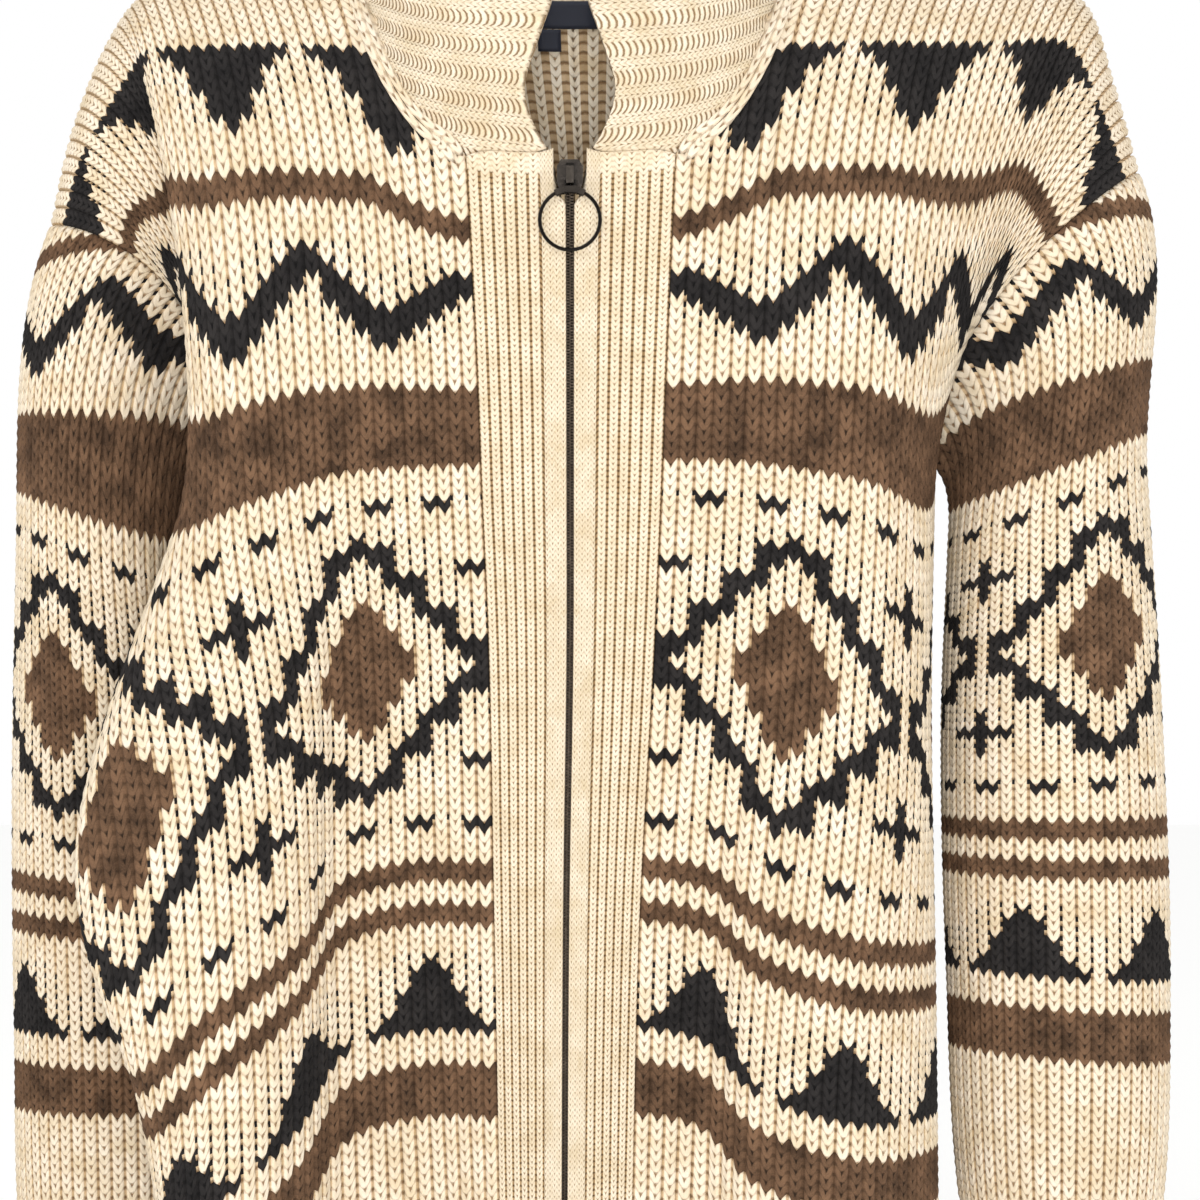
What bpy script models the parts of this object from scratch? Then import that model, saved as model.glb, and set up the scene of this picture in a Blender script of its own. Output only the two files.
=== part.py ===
"""Chunky ribbed cardigan with a zip, hanging filled out from its shoulders.

The cloth is described flat first, as a knitter would: a wale is a distance round the body from
the zip, a course is a distance down from the neck points. Short tables of guide lines and
sections then say where wales and courses hang in space. Every wall is built on those surfaces.

Frame: the front faces -Y, the wearer's right is at -X, +Z is up, and the origin lies midway
between the neck points, at the height of the shoulders. Sizes below are in millimetres.
"""
import math

import bmesh
import bpy
import numpy as np
from mathutils import Matrix

MM = 0.001

# Flat sizes of the body
RIBS_PER_QUARTER = 41
SIDE = 320.0                      # zip to side seam, and side seam to centre back
GIRTH = 4 * SIDE
RIB = SIDE / RIBS_PER_QUARTER     # pitch of the body ribs
FRONT_RIBS = 35                   # from the placket to the side seam
NECK_HALF = 100.0                 # zip to neck point, measured along the shoulder line
SHOULDER_FALL = 55.0              # the side edge of the shoulder seam starts this far down
ARMPIT = 280.0                    # course at the foot of the armhole
HEM = 700.0
PLACKET = SIDE - FRONT_RIBS * RIB
PLACKET_TOP = 124.0
NECK_DEPTH_FRONT = 114.0
NECK_DEPTH_BACK = 15.0
NECK_STEP = 12.0                  # the front neckline steps down to the placket over this width
ARMHOLE = ARMPIT - SHOULDER_FALL  # flat length of each armhole edge

# Cloth
WALL = 4.0                        # from the cloth's mean outer face to its inner face
RIB_RISE = 1.1                    # crests and valleys lie this far either side of the mean face
PLACKET_WALL = 3.4
GAP = 0.3                         # between neighbouring pieces
STEP = 3.0                        # spacing used to measure a surface's slope

# Guide lines of the hanging body: where each one passes four courses.
# Columns: name, then (across, depth, extra drop) at each of LEVELS.
LEVELS = (280.0, 370.0, 520.0, 700.0)
GUIDES = (
    ("zip",           (0, -66, 0), (0, -67, 0), (-2, -72, 0), (-3, -80, 0)),
    ("left band",     (47, -66, 0), (45, -64, 0), (42, -62, 0), (38, -66, 0)),
    ("left panel",    (84, -67, 0), (81, -62, 1), (76, -57, 8), (70, -56, 10)),
    ("left flank",    (118, -70, 4), (109, -66, 7), (98, -73, 27), (92, -74, 34)),
    ("left crest",    (160, -74, 12), (154, -77, 22), (148, -88, 43), (150, -90, 50)),
    ("left edge",     (192, -40, 25), (191, -43, 38), (193, -48, 47), (196, -44, 50)),
    ("left side",     (196, 22, -4), (190, 30, 18), (190, 30, 38), (190, 34, 44)),
    ("left corner",   (156, 92, -8), (154, 96, 5), (150, 98, 10), (146, 98, 12)),
    ("left valley",   (112, 84, -4), (112, 80, 2), (110, 76, 4), (108, 74, 6)),
    ("left fold",     (76, 98, -2), (74, 102, 2), (72, 106, 4), (70, 110, 6)),
    ("left hollow",   (36, 88, 0), (34, 84, 0), (30, 80, 2), (28, 76, 2)),
    ("centre back",   (0, 96, 0), (-14, 100, 0), (-24, 102, 0), (-20, 106, 0)),
    ("right hollow",  (-40, 88, 0), (-52, 84, 1), (-60, 80, 2), (-58, 78, 2)),
    ("right fold",    (-80, 98, -2), (-92, 102, 2), (-98, 106, 4), (-96, 108, 6)),
    ("right valley",  (-118, 86, -4), (-126, 84, 4), (-130, 80, 6), (-126, 80, 8)),
    ("right corner",  (-160, 90, -6), (-162, 92, 8), (-160, 94, 14), (-154, 94, 14)),
    ("right side",    (-200, 26, 0), (-186, 30, 38), (-186, 26, 48), (-184, 34, 44)),
    ("right return",  (-206, -14, 22), (-240, -36, 66), (-222, -32, 84), (-198, -26, 75)),
    ("right edge",    (-210, -56, 38), (-256, -84, 96), (-222, -84, 112), (-200, -66, 95)),
    ("right crest",   (-174, -76, 24), (-192, -98, 50), (-182, -104, 78), (-172, -94, 84)),
    ("right flank",   (-146, -66, 14), (-142, -73, 28), (-142, -78, 45), (-144, -74, 60)),
    ("right crease",  (-130, -62, 8), (-125, -54, 11), (-124, -47, 15), (-120, -42, 20)),
    ("right panel",   (-95, -64, 4), (-91, -59, 3), (-84, -50, 3), (-72, -44, 5)),
    ("right band",    (-46, -66, 2), (-44, -64, 2), (-41, -63, 2), (-38, -64, 2)),
)
# The front shows its ribs at full pitch as far as its edges. Behind them the cloth is gathered
# up to the left side seam and the centre back, which lie on guides of their own.
PINNED = [[row[0] for row in GUIDES].index(name)
          for name in ("left edge", "left side", "centre back", "right edge")]
SAMPLES_PER_GUIDE = 24
SECTION_POINTS = 640
SECTION_ROWS = 85
SOFTENING_PASSES = 6

# Where the placket's outer seam sits round the body, by course. Columns: course, distance
BAND_PULL = ((95.0, 50.0), (200.0, 48.5), (280.0, 47.0), (370.0, 44.0), (520.0, 40.0), (700.0, 38.0))

# Shoulder seams, from the neck point to the tip. Columns: share of the seam, across, height
SHOULDER_DEPTH = 15.0
SHOULDERS = {
    -1: ((0.0, -118, 0), (0.25, -178, -8), (0.5, -238, -21), (0.65, -258, -49), (0.82, -276, -95),
         (1.0, -288, -148)),
    1: ((0.0, 118, 0), (0.25, 182, -7), (0.5, 246, -13), (0.68, 284, -24), (0.84, 300, -68),
        (1.0, 314, -118)),
}
NECK_REACH_FRONT = -78.0          # from the shoulder line to the front of the neck
NECK_REACH_BACK = 55.0
UNDERARM_SPREAD = 0.8             # how far the armhole's two edges part at their foot
UNDERARM_BLEND = 115.0

# Sleeves, flat
CUFF_END = 645.0
CAP_HEIGHT = 105.0
# Sections of the hanging sleeves. Columns: distance from the tip, across, depth, height,
# half width, half depth, how much lower the inner side hangs
SLEEVE_SECTIONS = {
    -1: ((170, -264, 34, -336, 46, 64, 36), (300, -262, 46, -457, 53, 54, 18),
         (450, -260, 50, -600, 55, 43, 4), (580, -259, 50, -723, 52, 32, -4),
         (645, -258, 48, -788, 43, 26, -4)),
    1: ((170, 265, 18, -306, 54, 66, 40), (300, 267, 16, -421, 60, 58, 10),
        (450, 270, 10, -562, 61, 44, -8), (580, 271, 8, -691, 55, 32, -8),
        (645, 271, 8, -757, 44, 26, -4)),
}

# Collar: its top edge is an oval. Heights are of that edge.
COLLAR_HALF_WIDTH = 88.0
COLLAR_FRONT = -64.0
COLLAR_BACK = 80.0
# Columns: place along the neck edge (0 at the front opening, 1 at centre back), angle round
# the oval in degrees, height of the top edge
COLLAR_TOP = ((0.0, 4.0, 34.0), (0.16, 38.0, 38.0), (0.6, 92.0, 50.0), (1.0, 180.0, 60.0))
COLLAR_RIB = 15.0
COLLAR_RISE = 1.4
COLLAR_WALL = 4.6
# How far each front edge stands from the centre line. Columns: height above the zip's top, distance
COLLAR_MOUTH = ((0.0, 7.6), (14.0, 16.5), (37.0, 24.0), (62.0, 17.5), (88.0, 9.0), (125.0, 6.5),
                (165.0, 8.0))


def curve(knots, values, x):
    """Read a smooth curve through knots, flat past its ends. Values may be rows of numbers."""
    knots = np.asarray(knots, float)
    values = np.asarray(values, float)
    x = np.clip(np.asarray(x, float), knots[0], knots[-1])
    index = np.clip(np.searchsorted(knots, x, side="right") - 1, 0, len(knots) - 2)
    width = np.diff(knots)
    slope = (np.diff(values, axis=0).T / width).T
    tangent = np.empty_like(values)
    tangent[0] = slope[0]
    tangent[-1] = slope[-1]
    for k in range(1, len(knots) - 1):
        total = width[k - 1] + width[k]
        tangent[k] = (slope[k - 1] * width[k] + slope[k] * width[k - 1]) / total
    share = (x - knots[index]) / width[index]
    span = width[index]
    if values.ndim > 1:
        share = share[..., None]
        span = span[..., None]
    return hermite(values[index], tangent[index] * span, values[index + 1], tangent[index + 1] * span, share)


def hermite(start, start_slope, end, end_slope, share):
    """Blend from start to end with the given slopes."""
    square = share * share
    cube = square * share
    return ((2 * cube - 3 * square + 1) * start + (cube - 2 * square + share) * start_slope
            + (3 * square - 2 * cube) * end + (cube - square) * end_slope)


def column(table, number):
    """One column of a table."""
    return [row[number] for row in table]


def unit(vectors):
    """Vectors at length one."""
    length = np.linalg.norm(vectors, axis=-1, keepdims=True)
    return vectors / np.maximum(length, 1e-9)


def ease(share):
    """Smooth step from 0 to 1."""
    share = np.clip(share, 0.0, 1.0)
    return share * share * (3 - 2 * share)


def section(course):
    """The body's closed outline at a course: points (across, depth, drop) from the zip round."""
    knots = [curve(LEVELS, row[1:], course) for row in GUIDES]
    count = len(knots)
    stretch = []
    for i in range(count):
        before, start, end, after = (knots[(i + k - 1) % count] for k in range(4))
        chord = [math.sqrt(np.linalg.norm((b - a)[:2])) for a, b in
                 ((before, start), (start, end), (end, after))]
        lead = (start - before) / chord[0] - (end - before) / (chord[0] + chord[1]) + (end - start) / chord[1]
        tail = (end - start) / chord[1] - (after - start) / (chord[1] + chord[2]) + (after - end) / chord[2]
        share = np.linspace(0, 1, SAMPLES_PER_GUIDE, endpoint=False)[:, None]
        stretch.append(hermite(start, lead * chord[1], end, tail * chord[1], share))
    points = np.concatenate(stretch)
    return np.concatenate([points, points[:1]])


def sample_body():
    """The body from the armpit down as a fine grid: one row a course, one column a wale."""
    rows = []
    wales = np.linspace(0, GIRTH, SECTION_POINTS + 1)
    for course in np.linspace(LEVELS[0], LEVELS[-1], SECTION_ROWS):
        points = section(course)
        run = np.concatenate([[0], np.cumsum(np.linalg.norm(np.diff(points[:, :2], axis=0), axis=1))])
        left, seam, middle, right = (run[guide * SAMPLES_PER_GUIDE] for guide in PINNED)
        knots = (0.0, left, SIDE, 2 * SIDE, GIRTH - (run[-1] - right), GIRTH)
        places = curve(knots, (0.0, left, seam, middle, right, run[-1]), wales)
        rows.append(np.stack([np.interp(places, run, points[:, k]) for k in range(3)], 1))
    grid = np.array(rows)[:, :-1]
    for _ in range(SOFTENING_PASSES):
        grid = 0.25 * np.roll(grid, 1, 1) + 0.5 * grid + 0.25 * np.roll(grid, -1, 1)
    return np.concatenate([grid, grid[:, :1]], 1)


BODY_GRID = sample_body()


def lower_body(wale, course):
    """Point on the cloth from the armpit down."""
    wale = np.asarray(wale, float)
    course = np.asarray(course, float)
    around = np.mod(wale / GIRTH, 1.0) * SECTION_POINTS
    down = (course - LEVELS[0]) / (LEVELS[-1] - LEVELS[0]) * (SECTION_ROWS - 1)
    down = np.clip(down, 0, SECTION_ROWS - 1)
    i = np.clip(around.astype(int), 0, SECTION_POINTS - 1)
    j = np.clip(down.astype(int), 0, SECTION_ROWS - 2)
    fi = (around - i)[..., None]
    fj = (down - j)[..., None]
    upper = (1 - fi) * BODY_GRID[j, i] + fi * BODY_GRID[j, i + 1]
    lower = (1 - fi) * BODY_GRID[j + 1, i] + fi * BODY_GRID[j + 1, i + 1]
    point = (1 - fj) * upper + fj * lower
    return np.stack([point[..., 0], point[..., 1], -course - point[..., 2]], -1)


def pulled(wale, course):
    """Shift wales near the zip so that the plackets draw in towards the hem."""
    edge = curve(column(BAND_PULL, 0), column(BAND_PULL, 1), course)
    size = np.abs(wale)
    inside = size * edge / PLACKET
    outside = size + (edge - PLACKET) * (SIDE - size) / (SIDE - PLACKET)
    near = np.where(size < PLACKET, inside, outside)
    return np.sign(wale) * np.where(size < SIDE, near, size)


def shoulder_start(wale, back):
    """Where a wale starts on the shoulder line, and which way it leaves.

    Wales inside the neck start on a line that bridges the neck, which the neckline cuts away.
    """
    reach = np.abs(wale)
    side = np.where(wale < 0, -1.0, 1.0)
    if back:
        reach = 2 * SIDE - wale
        side = np.where(reach < 0, -1.0, 1.0)
        reach = np.abs(reach)
    share = np.clip((reach - NECK_HALF) / (SIDE - NECK_HALF), 0, 1)
    left = curve(column(SHOULDERS[1], 0), [row[1:] for row in SHOULDERS[1]], share)
    right = curve(column(SHOULDERS[-1], 0), [row[1:] for row in SHOULDERS[-1]], share)
    place = np.where((side > 0)[..., None], left, right)
    inner = np.clip(reach / NECK_HALF, 0, 1)
    round_off = 1 - inner ** 2
    depth = SHOULDER_DEPTH + (NECK_REACH_BACK if back else NECK_REACH_FRONT) * round_off
    start = np.stack([place[..., 0] * np.where(reach < NECK_HALF, inner, 1.0), depth,
                      place[..., 1] + np.zeros_like(depth)], -1)
    forward = 1.0 if back else -1.0
    leave = np.stack([np.zeros_like(depth), forward * (1 - 0.75 * round_off), -0.97 * round_off], -1)
    first = SHOULDER_FALL * share
    return start, unit(leave), first


def body(wale, course, back=False):
    """Point on the mean outer face of the body.

    wale runs from -SIDE to SIDE over the front and from SIDE to 3 * SIDE over the back.
    """
    wale, course = np.broadcast_arrays(np.asarray(wale, float), np.asarray(course, float))
    shifted = wale if back else pulled(wale, course)
    low = lower_body(shifted, np.maximum(course, ARMPIT))
    start, leave, first = shoulder_start(wale, back)
    anchor_wale = wale if back else pulled(wale, np.full_like(course, ARMPIT))
    foot = lower_body(anchor_wale, np.full_like(course, ARMPIT))
    below = lower_body(anchor_wale, np.full_like(course, ARMPIT + STEP))
    length = (ARMPIT - first)[..., None]
    arrive = (below - foot) / STEP
    to_side = np.minimum(np.abs(wale - SIDE), np.minimum(np.abs(wale + SIDE), np.abs(wale - 3 * SIDE)))
    spread = UNDERARM_SPREAD * ease(1 - to_side / UNDERARM_BLEND)
    arrive[..., 1] += -spread if back else spread
    share = np.clip((course - first) / length[..., 0], 0, 1)[..., None]
    high = hermite(start, leave * length, foot, arrive * length, share)
    if not back:
        drift = lower_body(pulled(wale, np.minimum(course, ARMPIT)), np.full_like(course, ARMPIT)) - foot
        from_neck = np.clip((np.abs(wale) - PLACKET) / (NECK_HALF - PLACKET), 0, 1)[..., None]
        high = high + drift * (1 - (1 - share) * from_neck)
    return np.where((course < ARMPIT)[..., None], high, low)


def body_normal(wale, course, back=False):
    """Outward direction of the body's cloth."""
    wale, course = np.broadcast_arrays(np.asarray(wale, float), np.asarray(course, float))
    low, high = (SIDE, 3 * SIDE) if back else (-SIDE, SIDE)
    after = body(np.minimum(wale + STEP, high), course, back)
    before = body(np.maximum(wale - STEP, low), course, back)
    first = shoulder_start(wale, back)[2]
    up = np.maximum(course - STEP, np.minimum(first, course))
    down = body(wale, course + STEP, back) - body(wale, up, back)
    return unit(np.cross(down, after - before))


def neck_front(wale):
    """Course of the front neckline, with a small step down to the top of the placket."""
    reach = np.clip((np.abs(wale) - PLACKET) / (NECK_HALF - PLACKET), 0, 1)
    step = (PLACKET_TOP - NECK_DEPTH_FRONT) * np.clip(1 - (np.abs(wale) - PLACKET) / NECK_STEP, 0, 1) ** 2
    return NECK_DEPTH_FRONT * np.sqrt(1 - reach ** 3) + step


def neck_back(wale):
    """Course of the back neckline."""
    reach = np.clip(np.abs(2 * SIDE - wale) / NECK_HALF, 0, 1)
    return NECK_DEPTH_BACK * np.sqrt(1 - reach ** 2)


def top_course(wale, back=False):
    """Course where a wale starts: on the neckline or on the shoulder seam."""
    reach = np.abs(2 * SIDE - wale) if back else np.abs(wale)
    seam = SHOULDER_FALL * (reach - NECK_HALF) / (SIDE - NECK_HALF)
    neckline = neck_back(wale) if back else neck_front(wale)
    return np.where(reach < NECK_HALF, neckline, seam)


def sleeve_cap(offset):
    """Distance from the tip at which the sleeve starts, by flat offset from its centre line."""
    share = np.clip(np.abs(offset) / ARMHOLE, 0, 1)
    return CAP_HEIGHT * (0.35 * share + 0.65 * share ** 2)


def sleeve_tube(side, turn, distance):
    """Point on the hanging tube of a sleeve. turn is 0 on the outer line and 1 or -1 inside."""
    table = SLEEVE_SECTIONS[side]
    row = curve(column(table, 0), [r[1:] for r in table], distance)
    beyond = np.minimum(distance - table[0][0], 0.0)
    angle = math.pi * turn
    across = row[..., 0] + side * row[..., 3] * np.cos(angle)
    depth = row[..., 1] - row[..., 4] * np.sin(angle)
    height = row[..., 2] + row[..., 5] * 0.5 * np.cos(angle) - beyond
    return np.stack([across, depth, height], -1)


def sleeve(side, turn, distance):
    """Point on the mean outer face of a sleeve. turn is positive over its front."""
    turn, distance = np.broadcast_arrays(np.asarray(turn, float), np.asarray(distance, float))
    offset = np.abs(turn) * ARMHOLE
    course = SHOULDER_FALL + offset
    front_edge = body(np.full_like(course, side * SIDE), course)
    back_edge = body(np.full_like(course, SIDE if side > 0 else 3 * SIDE), course, back=True)
    ring = np.where((turn >= 0)[..., None], front_edge, back_edge)
    start = sleeve_cap(offset)
    join = float(SLEEVE_SECTIONS[side][0][0])
    length = (join - start)[..., None]
    inward = ease(np.abs(turn))
    sway = np.sin(math.pi * np.abs(turn)) * np.sign(turn)
    leave = unit(np.stack([side * (0.35 + 0.5 * inward), -0.3 * sway, -0.9 + 0.35 * inward], -1))
    end = sleeve_tube(side, turn, np.full_like(distance, join))
    after = sleeve_tube(side, turn, np.full_like(distance, join + STEP))
    share = np.clip((distance - start) / length[..., 0], 0, 1)[..., None]
    cap = hermite(ring, leave * length, end, (after - end) / STEP * length, share)
    return np.where((distance < join)[..., None], cap, sleeve_tube(side, turn, distance))


def sleeve_normal(side, turn, distance):
    """Outward direction of a sleeve's cloth."""
    turn, distance = np.broadcast_arrays(np.asarray(turn, float), np.asarray(distance, float))
    nudge = 0.012
    low = np.where(turn >= 0, np.maximum(turn - nudge, 0), turn - nudge)
    high = np.where(turn >= 0, turn + nudge, np.minimum(turn + nudge, -1e-6))
    around = sleeve(side, np.clip(high, -1, 1), distance) - sleeve(side, np.clip(low, -1, 1), distance)
    start = sleeve_cap(np.abs(turn) * ARMHOLE)
    down = sleeve(side, turn, distance + STEP) - sleeve(side, turn, np.maximum(distance - STEP, start))
    return unit(np.cross(down, around)) * -side


def seam_normal(side, reach, course):
    """Direction shared by front and back on the shoulder seam and the side seam."""
    reach, course = np.broadcast_arrays(np.asarray(reach, float), np.asarray(course, float))
    front = body_normal(side * reach, course)
    behind = body_normal(2 * SIDE - side * reach, course, True)
    return unit(front + behind)


def armhole_normal(side, offset, back):
    """Direction shared by body and sleeve where they meet, so that their walls are mitred."""
    offset = np.asarray(offset, float)
    edge = 2 * SIDE - side * SIDE if back else side * SIDE
    turn = offset / ARMHOLE * (-1 if back else 1)
    at_end = ((offset < 0.01) | (offset > ARMHOLE - 0.01))[..., None]
    cloth = body_normal(np.full_like(offset, edge), SHOULDER_FALL + offset, back)
    cloth = np.where(at_end, seam_normal(side, SIDE, SHOULDER_FALL + offset), cloth)
    start = sleeve_cap(offset)
    arm = sleeve_normal(side, turn, start)
    arm = np.where(at_end, unit(arm + sleeve_normal(side, -turn, start)), arm)
    return unit(cloth + arm)


def neck_edge(side, place):
    """Wale, course and half (front or back) of a place along the neck edge, 0 to 1."""
    place = float(place)
    first, second = COLLAR_TOP[1][0], COLLAR_TOP[2][0]
    if place <= first:
        mouth = COLLAR_MOUTH[0][1]
        return side * (mouth + (PLACKET - mouth) * place / first), PLACKET_TOP, False
    if place <= second:
        angle = 0.5 * math.pi * (place - first) / (second - first)
        wale = PLACKET + (NECK_HALF - PLACKET) * math.sin(angle)
        return side * wale, float(neck_front(np.array(wale))), False
    angle = 0.5 * math.pi * (place - second) / (1 - second)
    reach = NECK_HALF * math.cos(angle)
    return 2 * SIDE - side * reach, NECK_DEPTH_BACK * math.sin(angle), True


def collar_edge(side, place):
    """Points at the foot and the top of the collar at a place along the neck edge."""
    wale, course, back = neck_edge(side, place)
    foot = body(wale, course, back)
    angle = math.radians(float(curve(column(COLLAR_TOP, 0), column(COLLAR_TOP, 1), place)))
    height = float(curve(column(COLLAR_TOP, 0), column(COLLAR_TOP, 2), place))
    middle = 0.5 * (COLLAR_FRONT + COLLAR_BACK)
    reach = 0.5 * (COLLAR_BACK - COLLAR_FRONT)
    top = np.array([side * COLLAR_HALF_WIDTH * math.sin(angle), middle - reach * math.cos(angle), height])
    return foot, top


def collar_stand(side, place, share):
    """Point on the collar before its front edges are drawn apart. share is 1 at the foot."""
    foot, top = collar_edge(side, place)
    out = np.array([top[0], top[1] - 8.0, 0.0])
    out = out / max(float(np.linalg.norm(out)), 1e-6)
    bow = 9.0 * np.sin(math.pi * share) + 5.0 * (1 - share) ** 4
    return top + (foot - top) * share + out * bow


def collar_length(side, place):
    """Height of the collar along its cloth."""
    foot, top = collar_edge(side, place)
    return float(np.linalg.norm(top - foot))


def collar(side, place, drop):
    """Point on the collar's mean outer face, a given distance down from its top edge."""
    length = collar_length(side, place)
    share = np.clip(np.asarray(drop, float) / length, 0, 1)[..., None]
    point = collar_stand(side, place, share)
    near = 1 - place / COLLAR_TOP[1][0]
    if near > 0:
        mouth = curve(column(COLLAR_MOUTH, 0), column(COLLAR_MOUTH, 1), (1 - share[..., 0]) * length)
        point[..., 0] += (side * mouth - collar_stand(side, 0.0, share)[..., 0]) * near
    return point


def collar_normal(side, place, drop):
    """Outward direction of the collar's cloth."""
    nudge = 0.01
    before = collar(side, max(place - nudge, 0.0), drop)
    after = collar(side, min(place + nudge, 1.0), drop)
    drop = np.asarray(drop, float)
    lower = np.minimum(drop + STEP, collar_length(side, place))
    down = collar(side, place, lower) - collar(side, place, np.maximum(drop - STEP, 0))
    return unit(np.cross(down, after - before)) * side


# Rows and columns of the walls. Every other outer column is a crest. Neighbouring columns
# share their rows, which lie closer together where the cloth bends.
SLEEVE_RIBS = 46
INNER_EVERY = 4                   # an inner column for every two ribs
BLOCK = 8                         # columns that share their rows
FLATNESS = 5.5                    # the cloth bends no more than this between two rows
FINE_FLATNESS = 2.4               # the same beside the armholes
LEAST_ROW = 14.0
CLEARANCE = 6.0                   # no course starts closer than this to a wale's end
INNER_BEND = 1.4                  # where the cloth bends more, the inside has a column for every rib
BEND_COURSES = np.array([60.0, 120.0, 180.0, 230.0, 280.0, 370.0, 450.0, 520.0, 610.0, 700.0])
STEEP_NECK = 86.0                 # from here out the neckline turns up to the shoulder
LABEL_ROWS = (30.0, 46.0)          # further rows behind the labels
LABEL_REACH = 32.0
BAND_STRIP = 14.0                 # flat strip beside the zip
BAND_RIBS = 6
BAND_RISE = 0.6
BAND_SINK = 0.4                   # the placket's mean face lies this far behind the fronts'

# Zip. Lifts are measured outwards from the cloth's mean face.
CHAIN_HALF = 2.2
CHAIN_LIFTS = (-4.9, -2.6)
TAPE_LIFTS = (-4.9, -4.15)
TAPE_EDGE = 14.0
BAND_COURSES = (133.0, 142.0, 148.0, 154.0, 200.0, 280.0, 370.0, 460.0, 550.0, 640.0, HEM)
ZIP_COURSES = (131.0, 160.0) + BAND_COURSES[4:-1] + (689.0,)
SLIDER_HALF = 6.9
SLIDER_MIDDLE = 131.5             # course at the slider's middle


def laid(across, places, points):
    """One column of a wall: where it is across, where its points are along it, and the points."""
    return float(across), [float(p) for p in places], np.asarray(points, float).reshape(-1, 3)


def stitched(first, second):
    """Triangles between two rows of (place, vertex), taking the nearer place first."""
    faces = []
    i = j = 0
    while i < len(first) - 1 or j < len(second) - 1:
        step_first = j == len(second) - 1 or (
            i < len(first) - 1 and first[i + 1][0] <= second[j + 1][0])
        if step_first:
            faces.append((first[i][1], first[i + 1][1], second[j][1]))
            i += 1
        else:
            faces.append((first[i][1], second[j + 1][1], second[j][1]))
            j += 1
    return faces


def rimmed(first, second, points):
    """Triangles between two rows of vertices, taking the shorter diagonal each time."""
    faces = []
    i = j = 0
    while i < len(first) - 1 or j < len(second) - 1:
        ahead_first = ahead_second = math.inf
        if i < len(first) - 1:
            ahead_first = math.dist(points[first[i + 1]], points[second[j]])
        if j < len(second) - 1:
            ahead_second = math.dist(points[first[i]], points[second[j + 1]])
        if ahead_first <= ahead_second:
            faces.append((first[i], first[i + 1], second[j]))
            i += 1
        else:
            faces.append((first[i], second[j + 1], second[j]))
            j += 1
    return faces


def wall(name, outer, inner, finish, around=None):
    """A closed wall between an outer and an inner skin, each a list of columns.

    around is the full turn of a tube's columns, and None for a panel with two side edges.
    """
    points = []
    faces = []
    skins = []
    for skin in (outer, inner):
        rows = []
        for across, places, column_points in skin:
            start = len(points)
            points.extend(column_points)
            rows.append((across, [(place, start + k) for k, place in enumerate(places)]))
        pairs = list(zip(rows, rows[1:]))
        if around is not None:
            pairs.append((rows[-1], rows[0]))
        for (_, left), (_, right) in pairs:
            faces += stitched(left, right)
        skins.append(rows)
    for end in (0, -1):
        rims = [[column_row[end][1] for _, column_row in rows] for rows in skins]
        if around is not None:
            rims = [rim + rim[:1] for rim in rims]
        faces += rimmed(*rims, points)
    if around is None:
        for side in (0, -1):
            edges = [[vertex for _, vertex in rows[side][1]] for rows in skins]
            faces += rimmed(*edges, points)
    return solid(name, points, faces, finish)


def solid(name, points, faces, finish):
    """A mesh object from points in millimetres, with its faces turned outwards."""
    mesh = bpy.data.meshes.new(name)
    mesh.from_pydata([tuple(float(c) * MM for c in point) for point in points], [], faces)
    shape = bmesh.new()
    shape.from_mesh(mesh)
    bmesh.ops.recalc_face_normals(shape, faces=shape.faces)
    shape.to_mesh(mesh)
    shape.free()
    mesh.materials.append(finish)
    mesh.shade_smooth()
    thing = bpy.data.objects.new(name, mesh)
    bpy.context.scene.collection.objects.link(thing)
    return thing


def linear(value):
    """An sRGB channel as linear light."""
    return value / 12.92 if value <= 0.04045 else ((value + 0.055) / 1.055) ** 2.4


def finish(name, hex_colour, roughness, metallic=0.0):
    """A plain material."""
    made = bpy.data.materials.new(name)
    made.use_nodes = True
    shader = made.node_tree.nodes["Principled BSDF"]
    channels = [linear(int(hex_colour[i:i + 2], 16) / 255) for i in (0, 2, 4)]
    shader.inputs["Base Color"].default_value = (*channels, 1.0)
    shader.inputs["Roughness"].default_value = roughness
    shader.inputs["Metallic"].default_value = metallic
    return made


def bent_rows(lines, start, end, reach, flatness):
    """Shares from start up to end, split where any of the lines bends more than the flatness.

    lines maps shares to points, one line a row. reach is the length of a share of one.
    """
    share = np.linspace(0, 1, 7)
    points = lines(start + (end - start) * share)
    chord = points[:, :1] + (points[:, -1:] - points[:, :1]) * share[:, None]
    bend = np.linalg.norm(points - chord, axis=-1).max()
    if bend < flatness or (end - start) * reach < 2 * LEAST_ROW:
        return [start]
    middle = 0.5 * (start + end)
    return (bent_rows(lines, start, middle, reach, flatness)
            + bent_rows(lines, middle, end, reach, flatness))


def between(top, joint, end, share):
    """Place at a share from 0 to 2 of a wale: top to joint is the first, joint to end the second."""
    share = np.asarray(share, float)
    return np.where(share < 1, top + (joint - top) * share, joint + (end - joint) * (share - 1))


def block_rows(point, tops, joint, end, flatness):
    """Shares of the rows of a block of wales. point maps (index of the wale, places) to points."""
    def lines(shares):
        return np.array([point(k, between(top, joint, end, shares)) for k, top in enumerate(tops)])
    upper = bent_rows(lines, 0.0, 1.0, joint - min(tops), flatness[0])
    return upper + bent_rows(lines, 1.0, 2.0, end - joint, flatness[1]) + [2.0]


def body_rows(block, back):
    """Shares of the rows of a block of the body's wales."""
    tops = [float(top_course(wale, back)) for wale in block]
    beside_armhole = min(seam_distance(wale, back) for wale in block) < 1
    flatness = (FINE_FLATNESS if beside_armhole else FLATNESS, FLATNESS)
    return block_rows(lambda k, places: body(block[k], places, back), tops, ARMPIT, HEM, flatness)


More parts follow.
